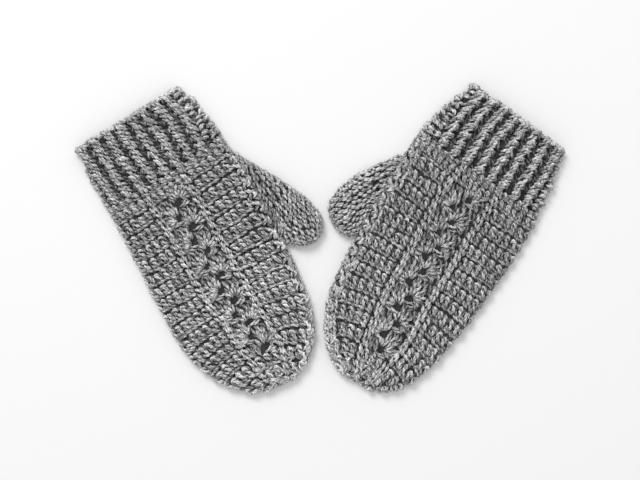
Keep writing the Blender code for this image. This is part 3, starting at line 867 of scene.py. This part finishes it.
def clear_of_eyelets(skein, mitten, bends, arc, at, mirror, own=None):
    """Whether no bend of a strand comes over the eyelet of another shell."""
    cloth = cloth_at(skein.tube, at)
    for other in SHELL_ROWS:
        if other == own:
            continue
        hole_at, hole_arc = eyelet_place(skein.tube, mitten, other)
        for bend in bends[1:-1]:
            across = (arc - hole_arc) * cloth + skein.side * mirror * bend.aside
            onward = (at + bend.onward - hole_at) * ROW
            if math.hypot(across, onward) < EYELET_OPEN:
                return False
    return True


# %% Laying the shells
def lay_shell(skein, mitten, row):
    """One shell, hung from its eyelet, leaning to its own side."""
    at, arc = eyelet_place(skein.tube, mitten, row)
    turn, lean = ("even", 1.0) if row % 2 == 0 else ("odd", -1.0)
    angles = FAN_ANGLES[turn]
    strands = [fan_strand(1.1, angle, STEM_REACH, STEM_LIFTS) for angle in angles]
    strands += [fan_strand(1.1, angle - HALF_STEM, TIER_REACH, TIER_LIFTS) for angle in angles[1:]]
    strands += UNDER_LOOPS
    strands += [fan_strand(1.15, angle + HALF_STEM, FILL_REACH, FILL_LIFTS) for angle in angles]
    for whole in strands:
        if clear_of_eyelets(skein, mitten, whole.bends, arc, at, lean, row):
            skein.add(whole, arc, at, mirror=lean)


def fill_panel(skein, mitten, row):
    """Short low stretches that close the chance gaps of the shell panel, but not its eyelets."""
    for inside in np.linspace(0.06, 0.94, FILL_LEAVES):
        at = row + float(skein.chance.uniform(0.1, 0.9))
        arc = panel_arc(mitten, skein.tube, at, float(inside))
        mirror = 1.0 if inside > 0.5 else -1.0
        if clear_of_eyelets(skein, mitten, FILL_LEAF.bends, arc, at, mirror):
            skein.add(FILL_LEAF, arc, at, mirror=mirror)


def lay_behind(skein, mitten, row, first_arc, last_arc, count):
    """The stems at the back of the shell panel, left out where they would close an eyelet."""
    eyelets = [eyelet_place(skein.tube, mitten, shell) for shell in SHELL_ROWS]
    pitch = (last_arc - first_arc) / count
    at = row + 0.5
    cloth = cloth_at(skein.tube, at)
    for number in range(count):
        arc = first_arc + pitch * (number if skein.side > 0 else number + 1)
        for whole in BEHIND_STEMS:
            middle = arc + skein.side * whole.bends[2].aside / cloth
            gaps = [math.hypot((middle - hole_arc) * cloth, (at - hole_at) * ROW * EYELET_SQUASH)
                    for hole_at, hole_arc in eyelets]
            if min(gaps) > EYELET_CLEAR:
                skein.add(whole, arc, row)


# %% [markdown]
# ## The edge
#
# On the thumb's side each row was turned with a chain, which leaves a zigzag of fat, smooth
# loops along the fold.

# %% Edge loops
EDGE_STITCH = (
    strand(1.7, (-3.4, 0.06, -1.4), (-2.4, 0.16, 0.3), (-0.6, 0.33, 1.0), (1.2, 0.49, 0.8),
           (2.4, 0.63, -0.8)),
    strand(1.85, (0.9, 0.42, -1.0), (1.6, 0.54, 0.8), (2.0, 0.74, 1.2), (1.4, 0.93, 0.8),
           (0.4, 1.06, -1.0)),
    strand(1.35, (-2.9, 0.93, -1.4), (-2.1, 0.81, 0.0), (-0.9, 0.66, 0.5), (0.2, 0.55, -0.9)),
    strand(1.4, (3.4, -0.02, -1.2), (3.9, 0.2, 0.3), (4.3, 0.5, 0.6), (4.2, 0.82, 0.3),
           (3.8, 1.04, -1.2)),
    strand(1.25, (0.6, -0.1, -1.4), (1.6, 0.02, 0.0), (2.6, 0.18, 0.2), (3.2, 0.36, -1.2)),
)
EDGE_WIDTH = 8.4
EDGE_MIDDLE = 0.56
EDGE_TAKEN = 0.9
EDGE_STEP = 0.92
EDGE_FIRST, EDGE_LAST = -0.2, -0.5

# %% [markdown]
# ## Working the hands
#
# Now the rows are worked. The panel counts follow the real pair: on the left mitten four
# stitches and the fold outside the shells and five inside, on the right one more inside. Near
# the tip the rows get shorter, and the counts fall with the width, as they do when a crocheter
# decreases. There the post columns sink into the cloth, and the last stitches lie tangled.

# %% Rows of the hand
POST_GAP = 3.1
TOP_RINGS = 8
UNDER_RINGS = 6
LAST_POST = 16
FADE_ROW = 12
POST_FADE = 0.45
POST_SLIMMING = 0.06
GAP_CLOSING = 0.08
SEAM_OVERLAP = 0.2
FOLD_OVERLAP = 0.01
OPEN_EDGE_ROW = 12
TIP_STITCH_ROW = 11
TIP_LEAVES = 40
TIP_PLACE = (0.22, 15.6)
TIP_SPREAD = (0.56, 1.7)
TIP_JITTER = 2.5
# painted shade: the tangled tip leaves are counted this much deeper, so they are painted darker
TIP_SHADE_SINK = 0.9
RAISED_SEED = 50
TIP_LEAF = strand(1.25, (-1.6, -0.12, -1.6), (-0.9, -0.06, 0.2), (0.4, 0.04, 0.6), (1.4, 0.14, 0.0),
                  (1.9, 0.22, -1.6))
HAND_ROWS = [(0.0, 1.0, 5.6)]
HAND_ROWS += [(float(row), 1.0, ROW) for row in range(1, 17)]
HAND_ROWS += [(17.0, 0.6, 5.0)]


def work_row(skein, raised, mitten, row, span, height):
    """One row of a hand's back: its post stitches, both side panels, and the cloth between."""
    tube, middle = skein.tube, row + span / 2
    cloth = cloth_at(tube, middle)
    posts = [panel_arc(mitten, tube, middle, inside) for inside in (0.0, 1.0)]
    past = max(0.0, row - FADE_ROW)
    fade = POST_FADE * past
    half = POST_GAP * (1 - GAP_CLOSING * past) / cloth
    if row <= LAST_POST:
        for post in posts:
            for whole in POST_STITCH:
                raised.add(lowered(whole, fade, 1 - POST_SLIMMING * fade), post, row, span, height,
                           sink=RIB_SHADE_SINK - min(fade, RIB_SHADE_SINK))
    else:
        half = -SEAM_OVERLAP / cloth
    cell = PLAIN_STITCH if row < TIP_STITCH_ROW else TIP_STITCH
    end = 1 - EDGE_TAKEN * EDGE_WIDTH / cloth if row < OPEN_EDGE_ROW else 1.0
    lay_cells(skein, cell, row, span, -FOLD_OVERLAP, posts[0] - half, height)
    lay_cells(skein, cell, row, span, posts[1] + half, end, height)
    between = (posts[0] + half, posts[1] - half)
    if row in SHELL_ROWS:
        lay_behind(raised, mitten, row, *between, stitches_in((between[1] - between[0]) * cloth))
    else:
        lay_cells(skein, cell, row, span, *between, height)


def work_hand_back(mitten, seed):
    """The plain stitches of a hand's back, and apart from them all that stands out of it."""
    tube = TUBES[mitten.name, "hand"]
    skein = Skein(tube, mitten.side, TOP_RINGS, seed)
    raised = Skein(tube, mitten.side, TOP_RINGS, seed + RAISED_SEED)
    raised.waves = skein.waves
    for row, span, height in HAND_ROWS:
        work_row(skein, raised, mitten, row, span, height)
    for row in SHELL_ROWS:
        lay_shell(raised, mitten, row)
        fill_panel(raised, mitten, row)
    for row in np.arange(EDGE_FIRST, TIP_ROW + EDGE_LAST, EDGE_STEP):
        arc = 1 - EDGE_MIDDLE * EDGE_WIDTH / cloth_at(tube, row)
        for whole in EDGE_STITCH:
            raised.add(whole, arc, row, EDGE_STEP, ROW * EDGE_STEP)
    for _ in range(TIP_LEAVES):
        aside, onward, way = raised.chance.uniform(0, 1, 3)
        arc, row = TIP_PLACE[0] + TIP_SPREAD[0] * aside, TIP_PLACE[1] + TIP_SPREAD[1] * onward
        raised.add(TIP_LEAF, arc, row, jitter=TIP_JITTER, mirror=1.0 if way > 0.5 else -1.0,
                   sink=TIP_SHADE_SINK)
    return skein, raised


def work_hand_palm(mitten, seed):
    skein = Skein(TUBES[mitten.name, "hand"], -mitten.side, UNDER_RINGS, seed, under=True)
    for row, span, height in HAND_ROWS:
        lay_cells(skein, PALM_STITCH, row, span, 0.0, 1.0, height)
    return skein


# %% Rounds of the cuff
RIB_COUNT = 8
POST_RIBS = (2, 5)
RIB_WIDTH = {"left": 1.22, "right": 1.09}
UNDER_RIB_DEPTH = 1.0
GROOVE_STEPS = (0.0, 0.33, 0.67)
STRIP_START = 0.42
STRIP_END_ROW = -0.3
STRIP_JITTER = 2.2
BRIM_STEP = 0.052
BRIM_WAVE = 0.08
BRIM_JITTER = 1.4
CUFF_ROUNDS = [(float(row), 1.0) for row in range(int(BRIM_ROW), 0)]


def rib_arcs(mitten, row):
    """Where the ribs cross a round: two of them run on as the hand's post columns."""
    tube = TUBES[mitten.name, "hand"]
    first, second = (panel_arc(mitten, tube, row, inside) for inside in (0.0, 1.0))
    pitch = (second - first) / (POST_RIBS[1] - POST_RIBS[0])
    return first + (np.arange(RIB_COUNT) - POST_RIBS[0]) * pitch, pitch


def work_cuff(mitten, seed, under):
    tube = TUBES[mitten.name, "hand"]
    side = -mitten.side if under else mitten.side
    skein = Skein(tube, side, UNDER_RINGS if under else TOP_RINGS, seed, under)
    ribs = RIB_STITCH if mitten.name == "left" else RIB_STITCH + (RIB_CAP,)
    for row, span in CUFF_ROUNDS:
        arcs, pitch = rib_arcs(mitten, row + span / 2)
        for arc in arcs:
            for whole in ribs:
                skein.add(lowered(whole, UNDER_RIB_DEPTH if under else 0.0), arc, row, span, ROUND,
                          RIB_WIDTH[mitten.name], mirror=mitten.side, sink=RIB_SHADE_SINK)
            for step in GROOVE_STEPS:
                skein.add(GROOVE_LOOP, arc + pitch / 2, row + step, span, ROUND)
    for row in np.arange(BRIM_ROW, STRIP_END_ROW, STRIP_STEP):
        arcs, pitch = rib_arcs(mitten, row)
        strips = ((-FOLD_OVERLAP, arcs[0] - STRIP_START * pitch),
                  (arcs[-1] + STRIP_START * pitch, 1 + FOLD_OVERLAP))
        for start, end in strips:
            length = (end - start) * cloth_at(tube, row)
            if length > STITCH / 2:
                lay_cells(skein, STRIP_STITCH, row, STRIP_STEP, start, end, ROUND * STRIP_STEP,
                          STRIP_JITTER, stitches_in(length))
    arcs, pitch = rib_arcs(mitten, BRIM_ROW)
    for step in np.arange(0.0, 1.0, BRIM_STEP):
        wave = math.cos(2 * math.pi * (float(step) - arcs[0]) / pitch)
        skein.add(BRIM_LOOP, float(step), BRIM_ROW - BRIM_WAVE * wave, 1.0, ROUND,
                  jitter=BRIM_JITTER)
    return skein


# %% Rows of the thumb
THUMB_TONE = {"left": -0.4, "right": 1.6}
# painted shade: how much darker the thumbs are painted beside the hand's fold, and over what share
# of their width
ROOT_SHADE = {"left": 13.0, "right": 6.0}
ROOT_SHADE_WIDTH = 0.2
ROOT_ROWS = 0.62
ROOT_FADE = 2
THUMB_FIRST = 0.25
THUMB_SPARE = 0.2


def work_thumb(mitten, seed, under):
    """Rows across the thumb, with shade painted darker beside the hand, which shades it up to the
    crotch.
    """
    tube = TUBES[mitten.name, "thumb"]
    side = -mitten.side if under else mitten.side
    skein = Skein(tube, side, UNDER_RINGS if under else TOP_RINGS, seed, under)
    last = THUMB_ROWS[mitten.name]
    row = THUMB_FIRST
    while row < last - THUMB_SPARE:
        span = min(1.0, last - row)
        lay_cells(skein, SINGLE_STITCH, row, span, 0.0, 1.0, THUMB_ROW * span)
        row += span
    # painted shade beside the hand's fold, up to the crotch, added to each stretch's tone with the
    # thumb's own tone offset
    for number, arcs in enumerate(skein.arcs):
        beside = math.exp(-max(float(arcs.mean()), 0.0) / ROOT_SHADE_WIDTH)
        past_crotch = float(skein.rows[number].mean()) - ROOT_ROWS * last
        free = 1 / (1 + math.exp(ROOT_FADE * past_crotch))
        skein.tones[number] += THUMB_TONE[mitten.name] - ROOT_SHADE[mitten.name] * beside * free
    return skein


# %% [markdown]
# ## The ground
#
# Between the loops one looks into the cloth, where the same yarn lies in shadow. A thin closed
# shell under the loops stands for it. It follows the same tube a little deeper.

# %% The ground cloth
GROUND_DEPTH = 2.2 * MM
GROUND_WALL = 0.6 * MM
GROUND_ACROSS = 40
# painted shade: the ground is counted deeper than the painted depth shade reaches, so it is painted
# its darkest
GROUND_SHADE_RISE = -3.2


def ground_rings(tube, rows, lift):
    """Closed rings round the tube: over the back from fold to fold, and back underneath."""
    arcs = np.linspace(0, 1, GROUND_ACROSS)
    grid = np.repeat(rows[:, None], GROUND_ACROSS, axis=1)
    lifts = np.full(grid.shape, lift)
    over = lie_on(tube, grid, np.repeat(arcs[None], len(rows), axis=0), lifts)[0]
    below = lie_on(tube, grid, np.repeat(arcs[None, ::-1], len(rows), axis=0), lifts, under=True)[0]
    return np.concatenate([over, below[:, 1:-1]], axis=1)


def ground_cloth(name, tube, rows):
    """A closed shell along a tube, with an outer and an inner skin."""
    outer = ground_rings(tube, rows, -GROUND_DEPTH)
    inner = ground_rings(tube, rows, -GROUND_DEPTH - GROUND_WALL)
    count, around = outer.shape[:2]
    points = np.concatenate([outer.reshape(-1, 3), inner.reshape(-1, 3)])
    offset = count * around
    i, j = np.meshgrid(np.arange(count - 1), np.arange(around), indexing="ij")
    after = (j + 1) % around
    skin = np.stack([i * around + j, i * around + after, (i + 1) * around + after,
                     (i + 1) * around + j], axis=-1).reshape(-1, 4)
    rims = []
    for end in (0, count - 1):
        ring = np.arange(around)
        here, there = end * around + ring, end * around + (ring + 1) % around
        rim = np.stack([here, here + offset, there + offset, there], axis=-1)
        rims.append(rim if end == 0 else rim[:, ::-1])
    faces = np.concatenate([skin, skin[:, ::-1] + offset] + rims)
    corners = faces.ravel()
    sizes = np.full(len(faces), 4)
    place = points[corners][:, :2] / MM
    rises = np.full(len(points), GROUND_SHADE_RISE)
    tones = np.zeros(len(points))
    return build_mesh(name, points, corners, sizes, place, rises, tones)


# %% [markdown]
# ## Wool
#
# The yarn is a marl: light and dark grey fibres are spun together, so a strand is mottled
# along its length. Two effects are used by both the strands and the ground, so each is a node
# group. One gives the fibres' height, their flecks and the crests of the plies from the yarn's
# own coordinates; away from the crests the wool is painted darker, as painted shade in the ply
# grooves. The other is painted shade too: it says how much darker the wool is painted the deeper
# it lies between the loops, and the lower it lies on a strand's flank.

# %% Node helpers
def new_group(name, inputs, outputs):
    group = bpy.data.node_groups.new(name, "ShaderNodeTree")
    for label, kind, value in inputs:
        socket = group.interface.new_socket(label, in_out="INPUT", socket_type=kind)
        if value is not None:
            socket.default_value = value
    for label, kind in outputs:
        group.interface.new_socket(label, in_out="OUTPUT", socket_type=kind)
    start, end = group.nodes.new("NodeGroupInput"), group.nodes.new("NodeGroupOutput")
    return group, start, end


def add_node(tree, kind, settings=None, **values):
    node = tree.nodes.new(kind)
    for key, value in (settings or {}).items():
        setattr(node, key, value)
    for key, value in values.items():
        node.inputs[key.replace("_", " ")].default_value = value
    return node


def math_node(tree, operation, first, second=None, third=None):
    node = tree.nodes.new("ShaderNodeMath")
    node.operation = operation
    for socket, value in zip(node.inputs, (first, second, third)):
        if value is None:
            continue
        if isinstance(value, (int, float)):
            socket.default_value = value
        else:
            tree.links.new(value, socket)
    return node.outputs[0]


# %% Fibres group
FIBRE_REACH = 2.2
FIBRE_RUN = 0.32
FIBRE_SCALE = 2.6
MARL_STRETCH = (1.5, 0.42, 0.42)


def make_fibre_group():
    group, start, end = new_group(
        "wool_fibres",
        [("Along", "NodeSocketFloat", 0.0), ("Around", "NodeSocketFloat", 0.0),
         ("Slant", "NodeSocketFloat", 0.12), ("Fineness", "NodeSocketFloat", 1.0)],
        [("Height", "NodeSocketFloat"), ("Fleck", "NodeSocketFloat"), ("Ply", "NodeSocketFloat")],
    )
    link = group.links.new
    slid = math_node(group, "MULTIPLY_ADD", start.outputs["Along"], start.outputs["Slant"],
                     start.outputs["Around"])
    angle = math_node(group, "MULTIPLY", slid, 2 * math.pi)
    side = math_node(group, "MULTIPLY", math_node(group, "SINE", angle), FIBRE_REACH)
    front = math_node(group, "MULTIPLY", math_node(group, "COSINE", angle), FIBRE_REACH)
    run = math_node(group, "MULTIPLY", start.outputs["Along"], FIBRE_RUN)
    place = add_node(group, "ShaderNodeCombineXYZ")
    for socket, value in zip(place.inputs, (run, side, front)):
        link(value, socket)
    hairs = add_node(group, "ShaderNodeTexNoise", Detail=3.0, Roughness=0.62)
    link(place.outputs[0], hairs.inputs["Vector"])
    finer = math_node(group, "MULTIPLY", start.outputs["Fineness"], FIBRE_SCALE)
    link(finer, hairs.inputs["Scale"])
    coarse = add_node(group, "ShaderNodeVectorMath", {"operation": "MULTIPLY"})
    link(place.outputs[0], coarse.inputs[0])
    coarse.inputs[1].default_value = MARL_STRETCH
    marl = add_node(group, "ShaderNodeTexNoise", Detail=2.0, Roughness=0.5)
    link(coarse.outputs[0], marl.inputs["Vector"])
    link(start.outputs["Fineness"], marl.inputs["Scale"])
    # the ply crests, from which the wool takes its painted shade in the grooves between plies
    plies = math_node(group, "MULTIPLY", start.outputs["Around"], 2 * math.pi * PLIES)
    crest = math_node(group, "MULTIPLY_ADD", math_node(group, "COSINE", plies), 0.5, 0.5)
    link(crest, end.inputs["Ply"])
    link(hairs.outputs["Fac"], end.inputs["Height"])
    link(marl.outputs["Fac"], end.inputs["Fleck"])
    return group


# %% Painted depth shade group
def make_depth_shade_group():
    # painted shade: the wool's colour is scaled from Darkest at the Deepest rise up to full at the
    # Highest
    group, start, end = new_group(
        "wool_depth_shade",
        [("Rise", "NodeSocketFloat", 0.0), ("Deepest", "NodeSocketFloat", -2.75),
         ("Highest", "NodeSocketFloat", 0.9), ("Darkest", "NodeSocketFloat", 0.2)],
        [("Light", "NodeSocketFloat")],
    )
    rise = add_node(group, "ShaderNodeMapRange", {"interpolation_type": "SMOOTHSTEP"})
    link = group.links.new
    link(start.outputs["Rise"], rise.inputs["Value"])
    link(start.outputs["Deepest"], rise.inputs["From Min"])
    link(start.outputs["Highest"], rise.inputs["From Max"])
    link(start.outputs["Darkest"], rise.inputs["To Min"])
    rise.inputs["To Max"].default_value = 1.0
    link(rise.outputs["Result"], end.inputs["Light"])
    return group


FIBRES = make_fibre_group()
DEPTH_SHADE = make_depth_shade_group()
print("node groups:", FIBRES.name, DEPTH_SHADE.name)


# %% The wool material
MARL_FROM, MARL_TO = 0.38, 0.62
TONE_SHARE = 0.12
HAIR_HEIGHT = 0.0003


def make_wool(name, dark, light, bump, roughness, ply_shade, sheen, shine):
    """Marled wool from the fibres, with painted shade from the depth and the ply grooves, and with
    its plain values on the shader itself.
    """
    wool = bpy.data.materials.new(name)
    wool.use_nodes = True
    tree = wool.node_tree
    link = tree.links.new
    shader = tree.nodes["Principled BSDF"]
    shader.inputs["Roughness"].default_value = roughness
    shader.inputs["Sheen Weight"].default_value = sheen
    shader.inputs["Sheen Roughness"].default_value = 0.4
    shader.inputs["Specular IOR Level"].default_value = shine
    coords = add_node(tree, "ShaderNodeUVMap", {"uv_map": "yarn"})
    split = add_node(tree, "ShaderNodeSeparateXYZ")
    link(coords.outputs[0], split.inputs[0])
    fibres = add_node(tree, "ShaderNodeGroup", {"node_tree": FIBRES})
    link(split.outputs["X"], fibres.inputs["Along"])
    link(split.outputs["Y"], fibres.inputs["Around"])
    rise = add_node(tree, "ShaderNodeAttribute", {"attribute_name": "rise"})
    tone = add_node(tree, "ShaderNodeAttribute", {"attribute_name": "tone"})
    # painted shade from the height: deeper places and low strand flanks are painted darker
    depth = add_node(tree, "ShaderNodeGroup", {"node_tree": DEPTH_SHADE})
    link(rise.outputs["Fac"], depth.inputs["Rise"])
    marl = add_node(tree, "ShaderNodeMapRange", From_Min=MARL_FROM, From_Max=MARL_TO)
    link(fibres.outputs["Fleck"], marl.inputs["Value"])
    mix = add_node(tree, "ShaderNodeMix", {"data_type": "RGBA"})
    link(marl.outputs["Result"], mix.inputs[0])
    mix.inputs[6].default_value = (dark, dark, dark * 1.01, 1)
    mix.inputs[7].default_value = (light, light, light * 1.01, 1)
    # painted shade in the ply grooves: the wool is painted darker away from each ply's crest
    ply = math_node(tree, "MULTIPLY_ADD", fibres.outputs["Ply"], ply_shade, 1.0 - ply_shade)
    # the tone holds each strand's own random tone, with painted light towards the tips and painted
    # shade beside the thumbs' roots
    shade = math_node(tree, "MULTIPLY_ADD", tone.outputs["Fac"], TONE_SHARE, 1.0)
    shade = math_node(tree, "MULTIPLY", shade, ply)
    shade = math_node(tree, "MULTIPLY", shade, depth.outputs["Light"])
    scaled = add_node(tree, "ShaderNodeVectorMath", {"operation": "SCALE"})
    link(mix.outputs[2], scaled.inputs[0])
    link(shade, scaled.inputs["Scale"])
    link(scaled.outputs[0], shader.inputs["Base Color"])
    relief = add_node(tree, "ShaderNodeBump", Strength=bump, Distance=HAIR_HEIGHT)
    link(fibres.outputs["Height"], relief.inputs["Height"])
    link(relief.outputs[0], shader.inputs["Normal"])
    return wool


WOOL = make_wool("grey_wool_yarn", dark=0.24, light=0.91, bump=0.6, roughness=0.42,
                 ply_shade=0.45, sheen=0.1, shine=0.45)
# painted shade: the ground's wool is painted much darker than the strands', for the shadow inside
# the cloth
SHADED_GROUND = make_wool("grey_wool_ground_painted_shade", dark=0.08, light=0.28, bump=0.8, roughness=0.8,
                   ply_shade=0.0, sheen=0.0, shine=0.1)

# %% [markdown]
# ## Putting the mittens together
#
# Each mitten gets three ground shells, one for each tube, which stand for the two walls of
# that tube, and the stitches that lie on them.

# %% Make the pieces
GROUND_ROWS = {
    "cuff": np.linspace(BRIM_ROW + 0.25, -0.02, 22),
    "hand": np.concatenate([np.linspace(0.02, 16.5, 60), np.linspace(16.65, TIP_ROW - 0.12, 8)]),
}


def finish_piece(piece, material):
    piece.data.materials.append(material)
    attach(piece, "root")
    return piece


def declare_cloth(tube, rows):
    """Work out the rings of a tube's cloth at the yarn's depth; nothing is done with them."""
    rings = ground_rings(tube, rows, -YARN * MM)


def make_mitten(mitten, seed):
    hand, thumb = TUBES[mitten.name, "hand"], TUBES[mitten.name, "thumb"]
    name = mitten.name
    plain_and_raised = work_hand_back(mitten, seed + 2)
    works = {
        "cuff": [work_cuff(mitten, seed, False), work_cuff(mitten, seed + 1, True)],
        "hand_back": plain_and_raised[:1],
        "hand_shells": plain_and_raised[1:],
        "hand_palm": [work_hand_palm(mitten, seed + 3)],
        "thumb": [work_thumb(mitten, seed + 4, False), work_thumb(mitten, seed + 5, True)],
    }
    stitches = {}
    for part, skeins in works.items():
        piece = mesh_from_skeins(f"{name}_{part}_stitches", skeins)
        stitches[part] = finish_piece(piece, WOOL)
        triangles = sum(len(p.vertices) - 2 for p in piece.data.polygons)
        print(f"{piece.name}: {sum(len(s.rows) for s in skeins)} strands, {triangles} triangles")
    thumb_rows = np.linspace(0.35, THUMB_ROWS[name] - 0.15, 24)
    grounds = (
        ("cuff", hand, GROUND_ROWS["cuff"], [stitches["cuff"]]),
        ("hand", hand, GROUND_ROWS["hand"],
         [stitches["hand_back"], stitches["hand_shells"], stitches["hand_palm"]]),
        ("thumb", thumb, thumb_rows, [stitches["thumb"]]),
    )
    for part, tube, rows, on_it in grounds:
        cloth = ground_cloth(f"{name}_{part}_cloth", tube, rows)
        finish_piece(cloth, SHADED_GROUND)
        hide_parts(f"{name}_{part}_back", f"{name}_{part}_palm")
        declare_cloth(tube, rows)


# %% [markdown]
# ## Floor, light and camera
#
# The pair lies on a plain white table. Most of the light is an even studio white, and one large
# soft lamp from the upper left gives the loops their bright and dark sides. The camera looks
# straight down.

# %% Floor
FLOOR_HALF = 3.0
PAPER = (0.8, 0.8, 0.8, 1)
PAPER_ROUGHNESS = 0.6


def make_floor():
    mesh = bpy.data.meshes.new("floor")
    half = FLOOR_HALF
    mesh.from_pydata([(-half, -half, 0), (half, -half, 0), (half, half, 0), (-half, half, 0)], [],
                     [(0, 1, 2, 3)])
    floor = bpy.data.objects.new("floor", mesh)
    bpy.context.scene.collection.objects.link(floor)
    paper = bpy.data.materials.new("white_table")
    paper.use_nodes = True
    shader = paper.node_tree.nodes["Principled BSDF"]
    shader.inputs["Base Color"].default_value = PAPER
    shader.inputs["Roughness"].default_value = PAPER_ROUGHNESS
    mesh.materials.append(paper)


make_floor()
for mitten, seed in ((LEFT, 100), (RIGHT, 200)):
    make_mitten(mitten, seed)

# %% Light and camera
PHOTO_WIDTH = 0.435
LENS = 100.0
SENSOR = 36.0
VIEW_CENTRE = (0.0002, -0.0008)
STUDIO_WHITE = 0.69
Lamp = namedtuple("Lamp", "name place size power")
LAMPS = (
    Lamp("key", (-0.9, 1.7, 2.1), 1.4, 50.0),
    Lamp("top", (0.1, 0.0, 1.8), 1.2, 2.4),
)


def hang_lamp(lamp):
    """A round soft lamp that points at the middle of the pair."""
    light = bpy.data.lights.new(lamp.name, "AREA")
    light.shape = "DISK"
    light.size = lamp.size
    light.energy = lamp.power
    hung = bpy.data.objects.new(lamp.name, light)
    hung.location = lamp.place
    inward = Vector((0, 0, 0)) - Vector(lamp.place)
    hung.rotation_euler = inward.to_track_quat("-Z", "Y").to_euler()
    bpy.context.scene.collection.objects.link(hung)


def make_camera():
    data = bpy.data.cameras.new("camera")
    data.lens = LENS
    data.sensor_width = SENSOR
    camera = bpy.data.objects.new("camera", data)
    height = PHOTO_WIDTH * LENS / SENSOR + HALF
    camera.location = (VIEW_CENTRE[0], VIEW_CENTRE[1], height)
    bpy.context.scene.collection.objects.link(camera)
    bpy.context.scene.camera = camera
    print(f"camera {height:.3f} m above the table")


def make_light():
    world = bpy.data.worlds.new("studio")
    world.use_nodes = True
    background = world.node_tree.nodes["Background"]
    background.inputs["Color"].default_value = (1, 1, 1, 1)
    background.inputs["Strength"].default_value = STUDIO_WHITE
    bpy.context.scene.world = world
    for lamp in LAMPS:
        hang_lamp(lamp)


bpy.context.scene.view_settings.view_transform = "Standard"
make_camera()
make_light()
